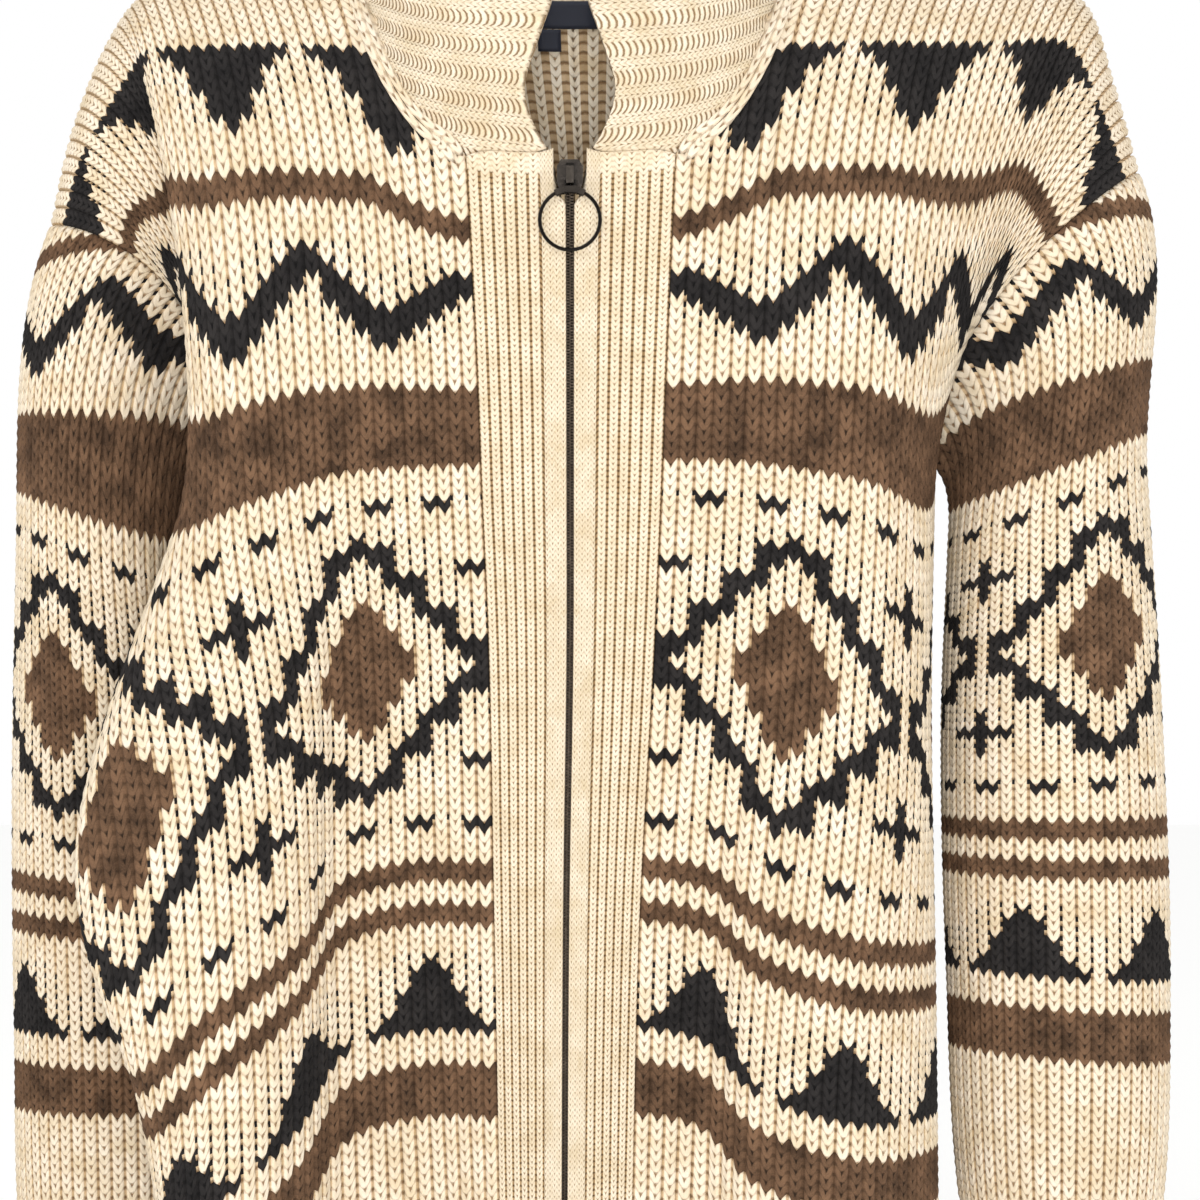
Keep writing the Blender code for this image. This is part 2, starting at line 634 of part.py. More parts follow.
def neck_place(wale, back):
    """Place along the neck edge of a wale that ends on the neckline."""
    first, second = COLLAR_TOP[1][0], COLLAR_TOP[2][0]
    if back:
        reach = abs(2 * SIDE - wale)
        return second + (1 - second) * math.acos(min(reach / NECK_HALF, 1.0)) * 2 / math.pi
    if abs(wale) <= PLACKET:
        mouth = COLLAR_MOUTH[0][1]
        return first * max(abs(wale) - mouth, 0.0) / (PLACKET - mouth)
    share = min((abs(wale) - PLACKET) / (NECK_HALF - PLACKET), 1.0)
    return first + (second - first) * math.asin(share) * 2 / math.pi


def neck_normal(side, place):
    """Direction shared by body and collar where they meet."""
    wale, course, back = neck_edge(side, place)
    at_shoulder = abs(place - COLLAR_TOP[2][0]) < 1e-6
    cloth = seam_normal(side, NECK_HALF, 0.0) if at_shoulder else body_normal(wale, course, back)
    return unit(cloth + collar_normal(side, place, collar_length(side, place)))


def body_column(side, wale, places, back, rise):
    """Points down a wale, raised by the given amount, mitred along every seam it meets."""
    reach = abs(2 * SIDE - wale) if back else abs(wale)
    at_edge = reach > SIDE - 1
    normals = body_normal(wale, places, back)
    if at_edge:
        armhole = armhole_normal(side, np.clip(places - SHOULDER_FALL, 0, ARMHOLE), back)
        below = seam_normal(side, SIDE, places)
        normals = np.where((places <= ARMPIT + 0.01)[:, None], armhole, below)
    elif reach <= NECK_HALF:
        normals[0] = neck_normal(side, neck_place(wale, back))
    else:
        normals[0] = seam_normal(side, reach, places[0])
    if reach >= NECK_HALF:
        places[0] += 0.5 * GAP
    return laid(wale, places, body(wale, places, back) + normals * rise)


def neck_wales():
    """Distances from the zip, or from the centre back, of the wales that are seamed to the collar.

    They are every second rib, and half ribs where the neckline turns.
    """
    kept = [NECK_HALF]
    for k in range(2 * RIBS_PER_QUARTER + 1):
        reach = SIDE - 0.5 * RIB * k
        turning = reach > STEEP_NECK or PLACKET - 1 < reach < PLACKET + NECK_STEP
        if reach < NECK_HALF and ((k - 2 * RIBS_PER_QUARTER) % 4 == 0 or turning):
            kept.append(reach)
    return kept


def edge_courses(side, every):
    """Courses down the side edge of a panel: a step for each sleeve column, then its own rows."""
    count = SLEEVE_RIBS // every
    steps = SHOULDER_FALL + ARMHOLE * np.arange(count) / count
    shares = [share for share in body_rows([side * SIDE], False) if share >= 1]
    return np.concatenate([steps, between(0.0, ARMPIT, HEM, shares)])


def rib_rise(distance):
    """Rise of the ribs at a distance from the side seam, sunk to the valleys at the seam."""
    fade = min(distance / RIB, 1.0)
    return -RIB_RISE * (1 - fade + fade * math.cos(2 * math.pi * distance / RIB))


def bends_across(low, high, back):
    """Whether the body bends between two wales, as far as its inside would notice."""
    middle = body(0.5 * (low + high), BEND_COURSES, back)
    chord = 0.5 * (body(low, BEND_COURSES, back) + body(high, BEND_COURSES, back))
    return np.linalg.norm(middle - chord, axis=-1).max() > INNER_BEND


def panel_wales(side, back):
    """Wales of a panel's outer columns, and of its inner ones."""
    count = 4 * RIBS_PER_QUARTER if back else 2 * FRONT_RIBS
    ribs = [SIDE + 0.5 * RIB * k if back else side * (SIDE - 0.5 * RIB * k) for k in range(count + 1)]
    neck = [2 * SIDE + turn * reach if back else side * reach
            for reach in neck_wales() for turn in (-1, 1)]
    neck = [wale for wale in neck if back or abs(wale) > PLACKET - 1]
    inner = ribs[::INNER_EVERY] + ribs[-1:]
    inner += [0.5 * (low + high) for low, high in zip(inner, inner[1:]) if bends_across(low, high, back)]
    return distinct(ribs + neck), distinct(inner + neck)


def seam_distance(wale, back):
    """Distance of a wale from its side seam."""
    return SIDE - (abs(2 * SIDE - wale) if back else abs(wale))


def panel_rows(wales, back):
    """Courses of every wale of a panel, by wale. Blocks of neighbours share theirs."""
    blocks = {}
    for wale in wales:
        key = (wale > 2 * SIDE, int((seam_distance(wale, back) + 0.01) / (0.5 * RIB * BLOCK)))
        blocks.setdefault(key, []).append(wale)
    courses = {}
    for block in blocks.values():
        beside_zip = not back and min(abs(wale) for wale in block) < PLACKET + 1
        shares = body_rows(block, back)
        for wale in block:
            top = float(top_course(wale, back))
            courses[wale] = between(top, ARMPIT, HEM, shares)
            if beside_zip:
                courses[wale] = np.array([top] + [c for c in BAND_COURSES if c > top + CLEARANCE])
    return courses


def panel(name, side, back, finish):
    """A front (side -1 or 1) or the back, from the neck and shoulders to the hem."""
    wales, inner_wales = panel_wales(side, back)
    courses = panel_rows(wales, back)
    skins = []
    for chosen, depth in ((wales, 0.0), (inner_wales, -WALL)):
        skin = []
        for near in chosen:
            wale = min(wales, key=lambda other, near=near: abs(other - near))
            distance = seam_distance(wale, back)
            wale_side = side if not back else (1 if wale < 2 * SIDE else -1)
            places = courses[wale].copy()
            if distance < 1:
                places = edge_courses(wale_side, 2 if depth else 1)
            elif back and depth and SIDE - distance < LABEL_REACH:
                places = np.array(distinct([*places, *LABEL_ROWS], 2.0))
            inset = 0.5 * GAP if wale == wales[0] else -0.5 * GAP if wale == wales[-1] else 0.0
            rise = depth if depth else rib_rise(distance)
            skin.append(body_column(wale_side, wale + inset, places, back, rise))
        skins.append(skin)
    return wall(name, skins[0], skins[1], finish)


def distinct(values, apart=0.05):
    """Sorted values with near repeats left out."""
    kept = []
    for value in sorted(values):
        if not kept or value - kept[-1] > apart:
            kept.append(value)
    return kept


def sleeve_wall(name, side, finish):
    """A sleeve from the armhole to the end of its cuff."""
    count = 2 * SLEEVE_RIBS
    turns = [2.0 * k / count - 1.0 for k in range(count)]
    starts = [float(sleeve_cap(turn * ARMHOLE)) for turn in turns]
    join = SLEEVE_SECTIONS[side][0][0]
    places = []
    for first in range(0, count, BLOCK):
        block = turns[first:first + BLOCK]
        tops = starts[first:first + BLOCK]
        shares = block_rows(lambda k, reach, block=block: sleeve(side, block[k], reach),
                            tops, join, CUFF_END, (FINE_FLATNESS, FLATNESS))
        places += [between(top + GAP, join, CUFF_END, shares) for top in tops]
    skins = []
    for every, depth in ((1, 0.0), (2, -WALL)):
        skin = []
        for k in range(0, count, every):
            rise = np.full_like(places[k], depth if depth else RIB_RISE * (1 if k % 2 else -1))
            if not depth:
                rise[0] = -RIB_RISE
            normals = sleeve_normal(side, turns[k], places[k])
            normals[0] = armhole_normal(side, abs(turns[k]) * ARMHOLE, turns[k] < 0)
            points = sleeve(side, turns[k], places[k]) + normals * rise[:, None]
            skin.append(laid(turns[k], places[k], points))
        skins.append(skin)
    return wall(name, skins[0], skins[1], finish, around=2.0)


def collar_places():
    """Places along one half of the neck edge, from the front opening to the centre back."""
    first = COLLAR_TOP[1][0]
    band = [first * k / 4 for k in range(4)]
    front = [neck_place(reach, False) for reach in neck_wales() if reach > PLACKET - 1]
    behind = [neck_place(2 * SIDE - reach, True) for reach in neck_wales()]
    return distinct(band + front + behind, 0.001)


def collar_wall(name, finish):
    """The stand collar, from one side of the front opening round to the other."""
    places = collar_places()
    skins = []
    for depth in (0.0, -COLLAR_WALL):
        skin = []
        for side in (-1, 1):
            for place in places if side < 0 else places[-2::-1]:
                step = 2.5 * COLLAR_RIB if depth else 0.5 * COLLAR_RIB
                length = collar_length(side, place) - 2 * GAP
                if place < COLLAR_TOP[1][0]:
                    step = 0.5 * COLLAR_RIB
                drops = np.append(np.arange(0.0, length - 0.4 * step, step), length)
                normals = collar_normal(side, place, drops)
                normals[-1] = neck_normal(side, place)
                rise = np.full_like(drops, depth)
                if not depth:
                    rise = COLLAR_RISE * np.where(np.arange(len(drops)) % 2, -1.0, 1.0)
                    rise[-1] = -RIB_RISE
                across = place if side < 0 else 2.0 - place
                skin.append(laid(across, drops, collar(side, place, drops) + normals * rise[:, None]))
        skins.append(skin)
    return wall(name, skins[0], skins[1], finish)


def band_edge(course):
    """Distance from the centre line to a placket's inner edge, wider beside the slider."""
    return CHAIN_HALF + GAP + (SLIDER_HALF + GAP - CHAIN_HALF) * (1 - ease((course - 142.0) / 18.0))


def placket_wall(name, side, finish):
    """A zip band: a flat strip beside the zip, then narrow ribs out to the front's edge.

    Its columns are pairs of a distance from the zip and a rise. Distances below 1 are shares of
    the flat strip, whose inner edge steps out round the slider.
    """
    pitch = (PLACKET - BAND_STRIP) / BAND_RIBS
    seam = PLACKET - 0.5 * GAP
    ribs = [(BAND_STRIP + 0.5 * pitch * k, BAND_RISE * (1 if k % 2 else -1)) for k in range(2 * BAND_RIBS)]
    outer = [(0.0, 0.0), (0.85, 0.0), *ribs, (seam, -BAND_RISE)]
    middles = (BAND_STRIP + 2 * pitch, BAND_STRIP + 4 * pitch)
    inner = [(wale, -PLACKET_WALL) for wale in (0.0, BAND_STRIP, *middles, seam)]
    courses = np.array((PLACKET_TOP,) + BAND_COURSES)
    edge = band_edge(courses)
    skins = []
    for rows in (outer, inner):
        skin = []
        for wale, rise in rows:
            wales = np.full_like(courses, wale)
            if wale < 1.0:
                wales = edge + wale * (BAND_STRIP - 1.0 - edge)
            points = body(side * wales, courses)
            normals = body_normal(0.0 if wale < 1.0 else side * wales, courses)
            skin.append(laid(wale, courses, points + normals * (rise - BAND_SINK)))
        skins.append(skin)
    return wall(name, skins[0], skins[1], finish)


def strip(name, sides, lifts, courses, finish):
    """A straight-sided strip down the zip, between two wales and two lifts off the cloth."""
    rings = []
    for course in courses:
        normal = body_normal(np.array(0.0), np.array(course))
        ring = []
        for wale, lift in ((0, 0), (1, 0), (1, 1), (0, 1)):
            ring.append(body(np.array(sides[wale]), np.array(course)) + normal * lifts[lift])
        rings.append(ring)
    points = [point for ring in rings for point in ring]
    faces = []
    for k in range(len(rings) - 1):
        for i in range(4):
            a, b = 4 * k + i, 4 * k + (i + 1) % 4
            faces.append((a, b, b + 4, a + 4))
    last = 4 * (len(rings) - 1)
    faces += [(0, 1, 2, 3), (last, last + 1, last + 2, last + 3)]
    return solid(name, points, faces, finish)


# Slider and puller, in millimetres about the slider's middle: across, outwards, up
FRONT_PLATE = (-2.3, -0.5)        # lifts of the slider's front plate
BACK_PLATE = (-6.8, -5.2)
PLATE_OUTLINE = ((-4.6, 8.5), (-6.9, 5.0), (-6.9, -3.5), (-5.2, -8.5), (5.2, -8.5), (6.9, -3.5),
                 (6.9, 5.0), (4.6, 8.5))
POST_OUTLINE = ((-1.3, 3.6), (1.3, 3.6), (1.3, 8.0), (-1.3, 8.0))
BITE = 0.4                        # united solids reach this far into each other
CROWN_HALF = 2.0
CROWN_TOP = 4.0                   # lift of the crown's top
CROWN_BAR = 1.0
CROWN_LOW = -5.4
CROWN_HIGH = 6.4
AXIS_LIFT = 1.9
AXIS_UP = -3.2                    # the puller's hinge, just inside the crown's lower end
PIN = 0.8
ARM_NEAR = 2.5                    # the puller's arms pass outside the crown
ARM_FAR = 4.1
RING_RADIUS = 16.0                # to the middle of the wire
RING_WIRE = 1.0
RING_DROP = 4.4                   # from the hinge to the middle of the ring's wire
CLASP_INNER = 1.3
CLASP_OUTER = 2.0
CLASP_TOP = 1.65
CLASP_REACH = 29.0                # degrees of the ring held by the clasp, each way


def prism(name, outline, depths, axes, finish):
    """An outline in one plane, extruded between two depths. axes places (u, v, depth) in XYZ."""
    points = []
    for depth in depths:
        for u, v in outline:
            values = (u, v, depth)
            points.append([values[axes.index(axis)] for axis in "xyz"])
    count = len(outline)
    faces = [tuple(range(count)), tuple(range(count, 2 * count))]
    for i in range(count):
        j = (i + 1) % count
        faces.append((i, j, j + count, i + count))
    return solid(name, points, faces, finish)


def circle(radius, sides):
    """Points round a circle."""
    turns = [2 * math.pi * k / sides for k in range(sides)]
    return [(radius * math.cos(turn), radius * math.sin(turn)) for turn in turns]


def swept(name, profile, radius, centre_up, reach, steps, finish):
    """A profile of (out, lift) swept round a centre on the YZ plane, reach degrees each way.

    A reach of 180 closes the ring.
    """
    closed = reach >= 180.0
    rings = steps if closed else steps + 1
    points = []
    for ring in range(rings):
        angle = math.radians(-reach + 2 * reach * ring / steps)
        for out, lift in profile:
            away = radius + out
            points.append((away * math.sin(angle), -lift, centre_up + away * math.cos(angle)))
    count = len(profile)
    faces = []
    for ring in range(steps):
        after = (ring + 1) % rings
        for i in range(count):
            j = (i + 1) % count
            faces.append((ring * count + i, ring * count + j, after * count + j, after * count + i))
    if not closed:
        faces.append(tuple(range(count)))
        faces.append(tuple(range(steps * count, rings * count)))
    return solid(name, points, faces, finish)


def joined(base, others):
    """Unite solids that bite into each other, through Boolean modifiers that stay on the base."""
    for other in others:
        join = base.modifiers.new("join " + other.name, "BOOLEAN")
        join.operation = "UNION"
        join.solver = "EXACT"
        join.object = other
        other.hide_render = True
        other.display_type = "WIRE"
    return base


def zip_frame():
    """Place of the slider's middle, with Z up the zip as the cloth leans there."""
    middle, above, below = (body(np.array(0.0), np.array(SLIDER_MIDDLE + step))
                            for step in (0.0, -8.0, 8.0))
    run = above - below
    lean = math.atan2(-run[1], run[2])
    return Matrix.Translation([c * MM for c in middle]) @ Matrix.Rotation(lean, 4, "X")


def slider(finish):
    """The slider: two plates round the chain, a post between them, and the crown's loop."""
    upright = ("x", "z", "y")
    front = prism("slider", PLATE_OUTLINE, [-lift for lift in FRONT_PLATE], upright, finish)
    back = prism("slider_back", PLATE_OUTLINE, [-lift for lift in BACK_PLATE], upright, finish)
    post_ends = (-FRONT_PLATE[0] - BITE, -BACK_PLATE[1] + BITE)
    post = prism("slider_post", POST_OUTLINE, post_ends, upright, finish)
    foot = -FRONT_PLATE[1] + BITE
    top = -CROWN_TOP
    under = top + CROWN_BAR
    loop = ((foot, CROWN_LOW), (top + 1.2, CROWN_LOW), (top, CROWN_LOW + 1.2), (top, CROWN_HIGH - 1.6),
            (top + 1.6, CROWN_HIGH), (foot, CROWN_HIGH), (foot, CROWN_HIGH - CROWN_BAR),
            (under + 0.8, CROWN_HIGH - CROWN_BAR), (under, CROWN_HIGH - 1.9),
            (under, CROWN_LOW + CROWN_BAR), (foot, CROWN_LOW + CROWN_BAR))
    crown = prism("slider_crown", loop, (-CROWN_HALF, CROWN_HALF), ("y", "z", "x"), finish)
    for part in (front, back, post, crown):
        part.matrix_world = zip_frame()
    return joined(front, (back, post, crown))


def puller(finish):
    """The puller, hanging plumb from the crown: a clasp on two arms, and the ring it holds."""
    axis = zip_frame() @ Matrix.Translation((0.0, -AXIS_LIFT * MM, AXIS_UP * MM))
    hinge = Matrix.Translation(axis.translation)
    centre_up = -(RING_DROP + RING_RADIUS)
    inner, outer, top = CLASP_INNER, CLASP_OUTER, CLASP_TOP
    channel = ((top, outer), (-outer + 0.5, outer), (-outer, outer - 0.5), (-outer, -outer + 0.5),
               (-outer + 0.5, -outer), (top, -outer), (top, -inner), (-inner, -inner), (-inner, inner),
               (top, inner))
    clasp = swept("pull_tab", channel, RING_RADIUS, centre_up, CLASP_REACH, 7, finish)
    arm = ((PIN, 0.75), (PIN, -2.0), (outer, -2.4), (outer, -3.4), (-outer, -3.4), (-outer, -2.4),
           (-PIN, -2.0), (-PIN, 0.75))
    sideways = ("y", "z", "x")
    pin_ends = (-ARM_NEAR - BITE, ARM_NEAR + BITE)
    pieces = [prism("pull_pin", circle(PIN, 10), pin_ends, sideways, finish)]
    for name, side in (("pull_arm_right", -1), ("pull_arm_left", 1)):
        reach = (side * ARM_NEAR, side * ARM_FAR)
        pieces.append(prism(name, arm, reach, sideways, finish))
    ring = swept("pull_ring", circle(RING_WIRE, 8), RING_RADIUS, centre_up, 180.0, 32, finish)
    for part in [clasp, ring] + pieces:
        part.matrix_world = hinge
    return joined(clasp, pieces), ring


def patch(name, wales, courses, lifts, finish):
    """A thin bare patch lying on the inside of the back."""
    across = np.linspace(wales[0], wales[1], 5)
    down = np.linspace(courses[0], courses[1], 3)
    skins = []
    for lift in lifts:
        skin = []
        for wale in across:
            wide = np.full_like(down, wale)
            points = body(wide, down, True) + body_normal(wide, down, True) * lift
            skin.append(laid(wale, down, points))
        skins.append(skin)
    return wall(name, skins[0], skins[1], finish)


LABEL_WALES = (2 * SIDE - 13.3, 2 * SIDE + 18.3)
LABEL_COURSES = (17.0, 33.0)
SIZE_WALES = (2 * SIDE + 6.2, 2 * SIDE + 18.0)
SIZE_COURSES = (33.4, 46.0)
LABEL_LIFTS = (-4.4, -5.2)
BOX_COURSES = (689.4, 694.0, 698.5)
BOX_HALF = 3.4


def main():
    """Build every piece."""
    for thing in list(bpy.data.objects):
        bpy.data.objects.remove(thing, do_unlink=True)
    wool = finish("cream wool", "EAD3AE", 0.92)
    rib_wool = finish("cream wool, fine rib", "E3CBA4", 0.92)
    gunmetal = finish("gunmetal zip", "5A544C", 0.42, 1.0)
    tape = finish("cream zip tape", "D8C4A2", 0.85)
    navy = finish("navy label", "1F2638", 0.8)
    panel("back", 1, True, wool)
    for name, side in (("right", -1), ("left", 1)):
        panel("front_" + name, side, False, wool)
        sleeve_wall("sleeve_" + name, side, wool)
        placket_wall("placket_" + name, side, rib_wool)
        edges = sorted((side * (CHAIN_HALF + GAP), side * TAPE_EDGE))
        strip("zip_tape_" + name, edges, TAPE_LIFTS, ZIP_COURSES, tape)
    collar_wall("collar", rib_wool)
    strip("zip_chain", (-CHAIN_HALF, CHAIN_HALF), CHAIN_LIFTS, ZIP_COURSES, gunmetal)
    strip("zip_box", (-BOX_HALF, BOX_HALF), TAPE_LIFTS, BOX_COURSES, gunmetal)
    slider(gunmetal)
    puller(gunmetal)
    patch("neck_label", LABEL_WALES, LABEL_COURSES, LABEL_LIFTS, navy)
    patch("size_tab", SIZE_WALES, SIZE_COURSES, LABEL_LIFTS, navy)


main()
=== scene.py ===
"""Chunky zip cardigan: the knitting, zip and labels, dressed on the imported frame.

The knitting is laid out flat first, as a knitter counts it: a wale is a distance round the body
from the zip, a course is a distance down from the neck points. Each form then says where wales
and courses hang in space, and each stitch is two legs of yarn raised on that form.

Frame: the front faces -Y, the wearer's right is at -X and +Z is up. Lengths are in millimetres
until a mesh is made.
"""
import logging
import math
from dataclasses import dataclass, field
from enum import Enum, IntEnum
from typing import Sequence

import bpy
import numpy as np
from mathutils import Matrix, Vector


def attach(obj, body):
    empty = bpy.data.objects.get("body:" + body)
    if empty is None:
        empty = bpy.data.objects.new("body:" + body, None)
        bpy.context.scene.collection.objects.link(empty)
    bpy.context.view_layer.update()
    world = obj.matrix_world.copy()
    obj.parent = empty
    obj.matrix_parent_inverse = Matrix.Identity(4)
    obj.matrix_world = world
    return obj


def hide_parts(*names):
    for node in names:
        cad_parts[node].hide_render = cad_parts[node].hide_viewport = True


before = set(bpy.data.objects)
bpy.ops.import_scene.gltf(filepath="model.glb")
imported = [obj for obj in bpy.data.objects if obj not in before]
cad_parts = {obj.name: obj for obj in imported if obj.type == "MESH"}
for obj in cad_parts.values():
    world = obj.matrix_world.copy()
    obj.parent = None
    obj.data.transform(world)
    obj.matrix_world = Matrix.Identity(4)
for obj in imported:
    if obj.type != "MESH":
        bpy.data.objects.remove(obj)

Array = np.ndarray
Laid = tuple[np.ndarray, np.ndarray, np.ndarray]
Thing = bpy.types.Object
Material = bpy.types.Material
Node = bpy.types.Node
Tree = bpy.types.NodeTree
LOG = logging.getLogger("cardigan")
MM = 0.001
STEP = 3.0  # spacing used to measure a form's slope
WELT_BLEND = 1.5  # rows over which a welt runs out into the ribs
SEAM_RISE = -1.1  # height of the cloth where two pieces are sewn together
INNER_RISE = -3.0  # anything further in belongs to the side next to the wearer


# --------------------------------------------------------------------------- curves and vectors

def hermite(start: Array, start_slope: Array, end: Array, end_slope: Array, share: Array) -> Array:
    """Blend from start to end with the given slopes.

    Args:
        start: Value where the share is 0.
        start_slope: Slope there.
        end: Value where the share is 1.
        end_slope: Slope there.
        share: How far along, 0 to 1.

    Returns:
        The blended values.
    """
    square = share * share
    cube = square * share
    return ((2 * cube - 3 * square + 1) * start + (cube - 2 * square + share) * start_slope
            + (3 * square - 2 * cube) * end + (cube - square) * end_slope)


def curve(knots: Sequence[float], values: Sequence, x: Array) -> Array:
    """Read a smooth curve through knots, flat past its ends.

    Args:
        knots: Places of the knots, rising.
        values: A number or a row of numbers for each knot.
        x: Places to read.

    Returns:
        The value at each place.
    """
    knots = np.asarray(knots, float)
    values = np.asarray(values, float)
    x = np.clip(np.asarray(x, float), knots[0], knots[-1])
    index = np.clip(np.searchsorted(knots, x, side="right") - 1, 0, len(knots) - 2)
    width = np.diff(knots)
    slope = (np.diff(values, axis=0).T / width).T
    tangent = np.empty_like(values)
    tangent[0] = slope[0]
    tangent[-1] = slope[-1]
    for k in range(1, len(knots) - 1):
        total = width[k - 1] + width[k]
        tangent[k] = (slope[k - 1] * width[k] + slope[k] * width[k - 1]) / total
    share = (x - knots[index]) / width[index]
    span = width[index]
    if values.ndim > 1:
        share = share[..., None]
        span = span[..., None]
    return hermite(values[index], tangent[index] * span, values[index + 1],
                   tangent[index + 1] * span, share)


def column(table: Sequence[Sequence[float]], number: int) -> list[float]:
    """One column of a table."""
    return [row[number] for row in table]


def matched(*values: Array) -> tuple[Array, ...]:
    """Arrays of floats brought to one shape."""
    return np.broadcast_arrays(*(np.asarray(value, float) for value in values))


def unit(vectors: Array) -> Array:
    """Vectors at length one."""
    return vectors / np.maximum(np.linalg.norm(vectors, axis=-1, keepdims=True), 1e-9)


def ease(share: Array) -> Array:
    """Smooth step from 0 to 1."""
    share = np.clip(share, 0.0, 1.0)
    return share * share * (3 - 2 * share)


def read_grid(grid: Array, across: Array, down: Array) -> Array:
    """Read a grid of points between its rows and columns.

    Args:
        grid: Points by row and column.
        across: Column numbers to read, with their fractions.
        down: Row numbers to read, with their fractions.

    Returns:
        The points, blended from the four round each place.
    """
    i = np.clip(across.astype(int), 0, grid.shape[1] - 2)
    j = np.clip(down.astype(int), 0, grid.shape[0] - 2)
    right = (across - i)[..., None]
    below = (down - j)[..., None]
    upper = (1 - right) * grid[j, i] + right * grid[j, i + 1]
    lower = (1 - right) * grid[j + 1, i] + right * grid[j + 1, i + 1]
    return (1 - below) * upper + below * lower


# --------------------------------------------------------------------------- forms of the cloth

@dataclass
class BodyForm:
    """The hanging body: fronts and back as one tube below the armholes, and the yokes above."""

    ribs_per_quarter: int = 41
    quarter: float = 320.0
    neck_half: float = 100.0
    shoulder_fall: float = 55.0
    armpit: float = 280.0
    hem: float = 700.0
    front_ribs: int = 35
    placket_top: float = 124.0
    neck_depth_front: float = 114.0
    neck_depth_back: float = 15.0
    neck_step: float = 12.0
    shoulder_depth: float = 15.0
    neck_reach: tuple[float, float] = (-78.0, 55.0)
    neck_turn: float = 0.75
    neck_dip: float = 0.97
    underarm_spread: float = 0.8
    underarm_blend: float = 115.0
    levels: tuple[float, ...] = (280.0, 370.0, 520.0, 700.0)
    samples: int = 24
    section_points: int = 640
    section_rows: int = 85
    softening: int = 6
    # Where each guide line passes the levels. Columns: name, then (across, depth, extra drop)
    guides: tuple = (
        ("zip",           (0, -66, 0), (0, -67, 0), (-2, -72, 0), (-3, -80, 0)),
        ("left band",     (47, -66, 0), (45, -64, 0), (42, -62, 0), (38, -66, 0)),
        ("left panel",    (84, -67, 0), (81, -62, 1), (76, -57, 8), (70, -56, 10)),
        ("left flank",    (118, -70, 4), (109, -66, 7), (98, -73, 27), (92, -74, 34)),
        ("left crest",    (160, -74, 12), (154, -77, 22), (148, -88, 43), (150, -90, 50)),
        ("left edge",     (192, -40, 25), (191, -43, 38), (193, -48, 47), (196, -44, 50)),
        ("left side",     (196, 22, -4), (190, 30, 18), (190, 30, 38), (190, 34, 44)),
        ("left corner",   (156, 92, -8), (154, 96, 5), (150, 98, 10), (146, 98, 12)),
        ("left valley",   (112, 84, -4), (112, 80, 2), (110, 76, 4), (108, 74, 6)),
        ("left fold",     (76, 98, -2), (74, 102, 2), (72, 106, 4), (70, 110, 6)),
        ("left hollow",   (36, 88, 0), (34, 84, 0), (30, 80, 2), (28, 76, 2)),
        ("centre back",   (0, 96, 0), (-14, 100, 0), (-24, 102, 0), (-20, 106, 0)),
        ("right hollow",  (-40, 88, 0), (-52, 84, 1), (-60, 80, 2), (-58, 78, 2)),
        ("right fold",    (-80, 98, -2), (-92, 102, 2), (-98, 106, 4), (-96, 108, 6)),
        ("right valley",  (-118, 86, -4), (-126, 84, 4), (-130, 80, 6), (-126, 80, 8)),
        ("right corner",  (-160, 90, -6), (-162, 92, 8), (-160, 94, 14), (-154, 94, 14)),
        ("right side",    (-200, 26, 0), (-186, 30, 38), (-186, 26, 48), (-184, 34, 44)),
        ("right return",  (-206, -14, 22), (-240, -36, 66), (-222, -32, 84), (-198, -26, 75)),
        ("right edge",    (-210, -56, 38), (-256, -84, 96), (-222, -84, 112), (-200, -66, 95)),
        ("right crest",   (-174, -76, 24), (-192, -98, 50), (-182, -104, 78), (-172, -94, 84)),
        ("right flank",   (-146, -66, 14), (-142, -73, 28), (-142, -78, 45), (-144, -74, 60)),
        ("right crease",  (-130, -62, 8), (-125, -54, 11), (-124, -47, 15), (-120, -42, 20)),
        ("right panel",   (-95, -64, 4), (-91, -59, 3), (-84, -50, 3), (-72, -44, 5)),
        ("right band",    (-46, -66, 2), (-44, -64, 2), (-41, -63, 2), (-38, -64, 2)),
    )
    pinned: tuple[str, ...] = ("left edge", "left side", "centre back", "right edge")
    # Where the placket's outer seam sits round the body. Columns: course, distance
    band_pull: tuple = ((95.0, 50.0), (200.0, 48.5), (280.0, 47.0), (370.0, 44.0), (520.0, 40.0),
                        (700.0, 38.0))
    # Shoulder seams from the neck point to the tip. Columns: share of the seam, across, height
    shoulders: dict = field(default_factory=lambda: {
        -1: ((0.0, -118, 0), (0.25, -178, -8), (0.5, -238, -21), (0.65, -258, -49), (0.82, -276, -95),
             (1.0, -288, -148)),
        1: ((0.0, 118, 0), (0.25, 182, -7), (0.5, 246, -13), (0.68, 284, -24), (0.84, 300, -68),
            (1.0, 314, -118)),
    })

    def __post_init__(self) -> None:
        """Work out the sizes that follow from the others, and sample the hanging tube."""
        self.girth = 4 * self.quarter
        self.rib = self.quarter / self.ribs_per_quarter
        self.placket = self.quarter - self.front_ribs * self.rib
        self.armhole = self.armpit - self.shoulder_fall
        self.grid = self.sampled()

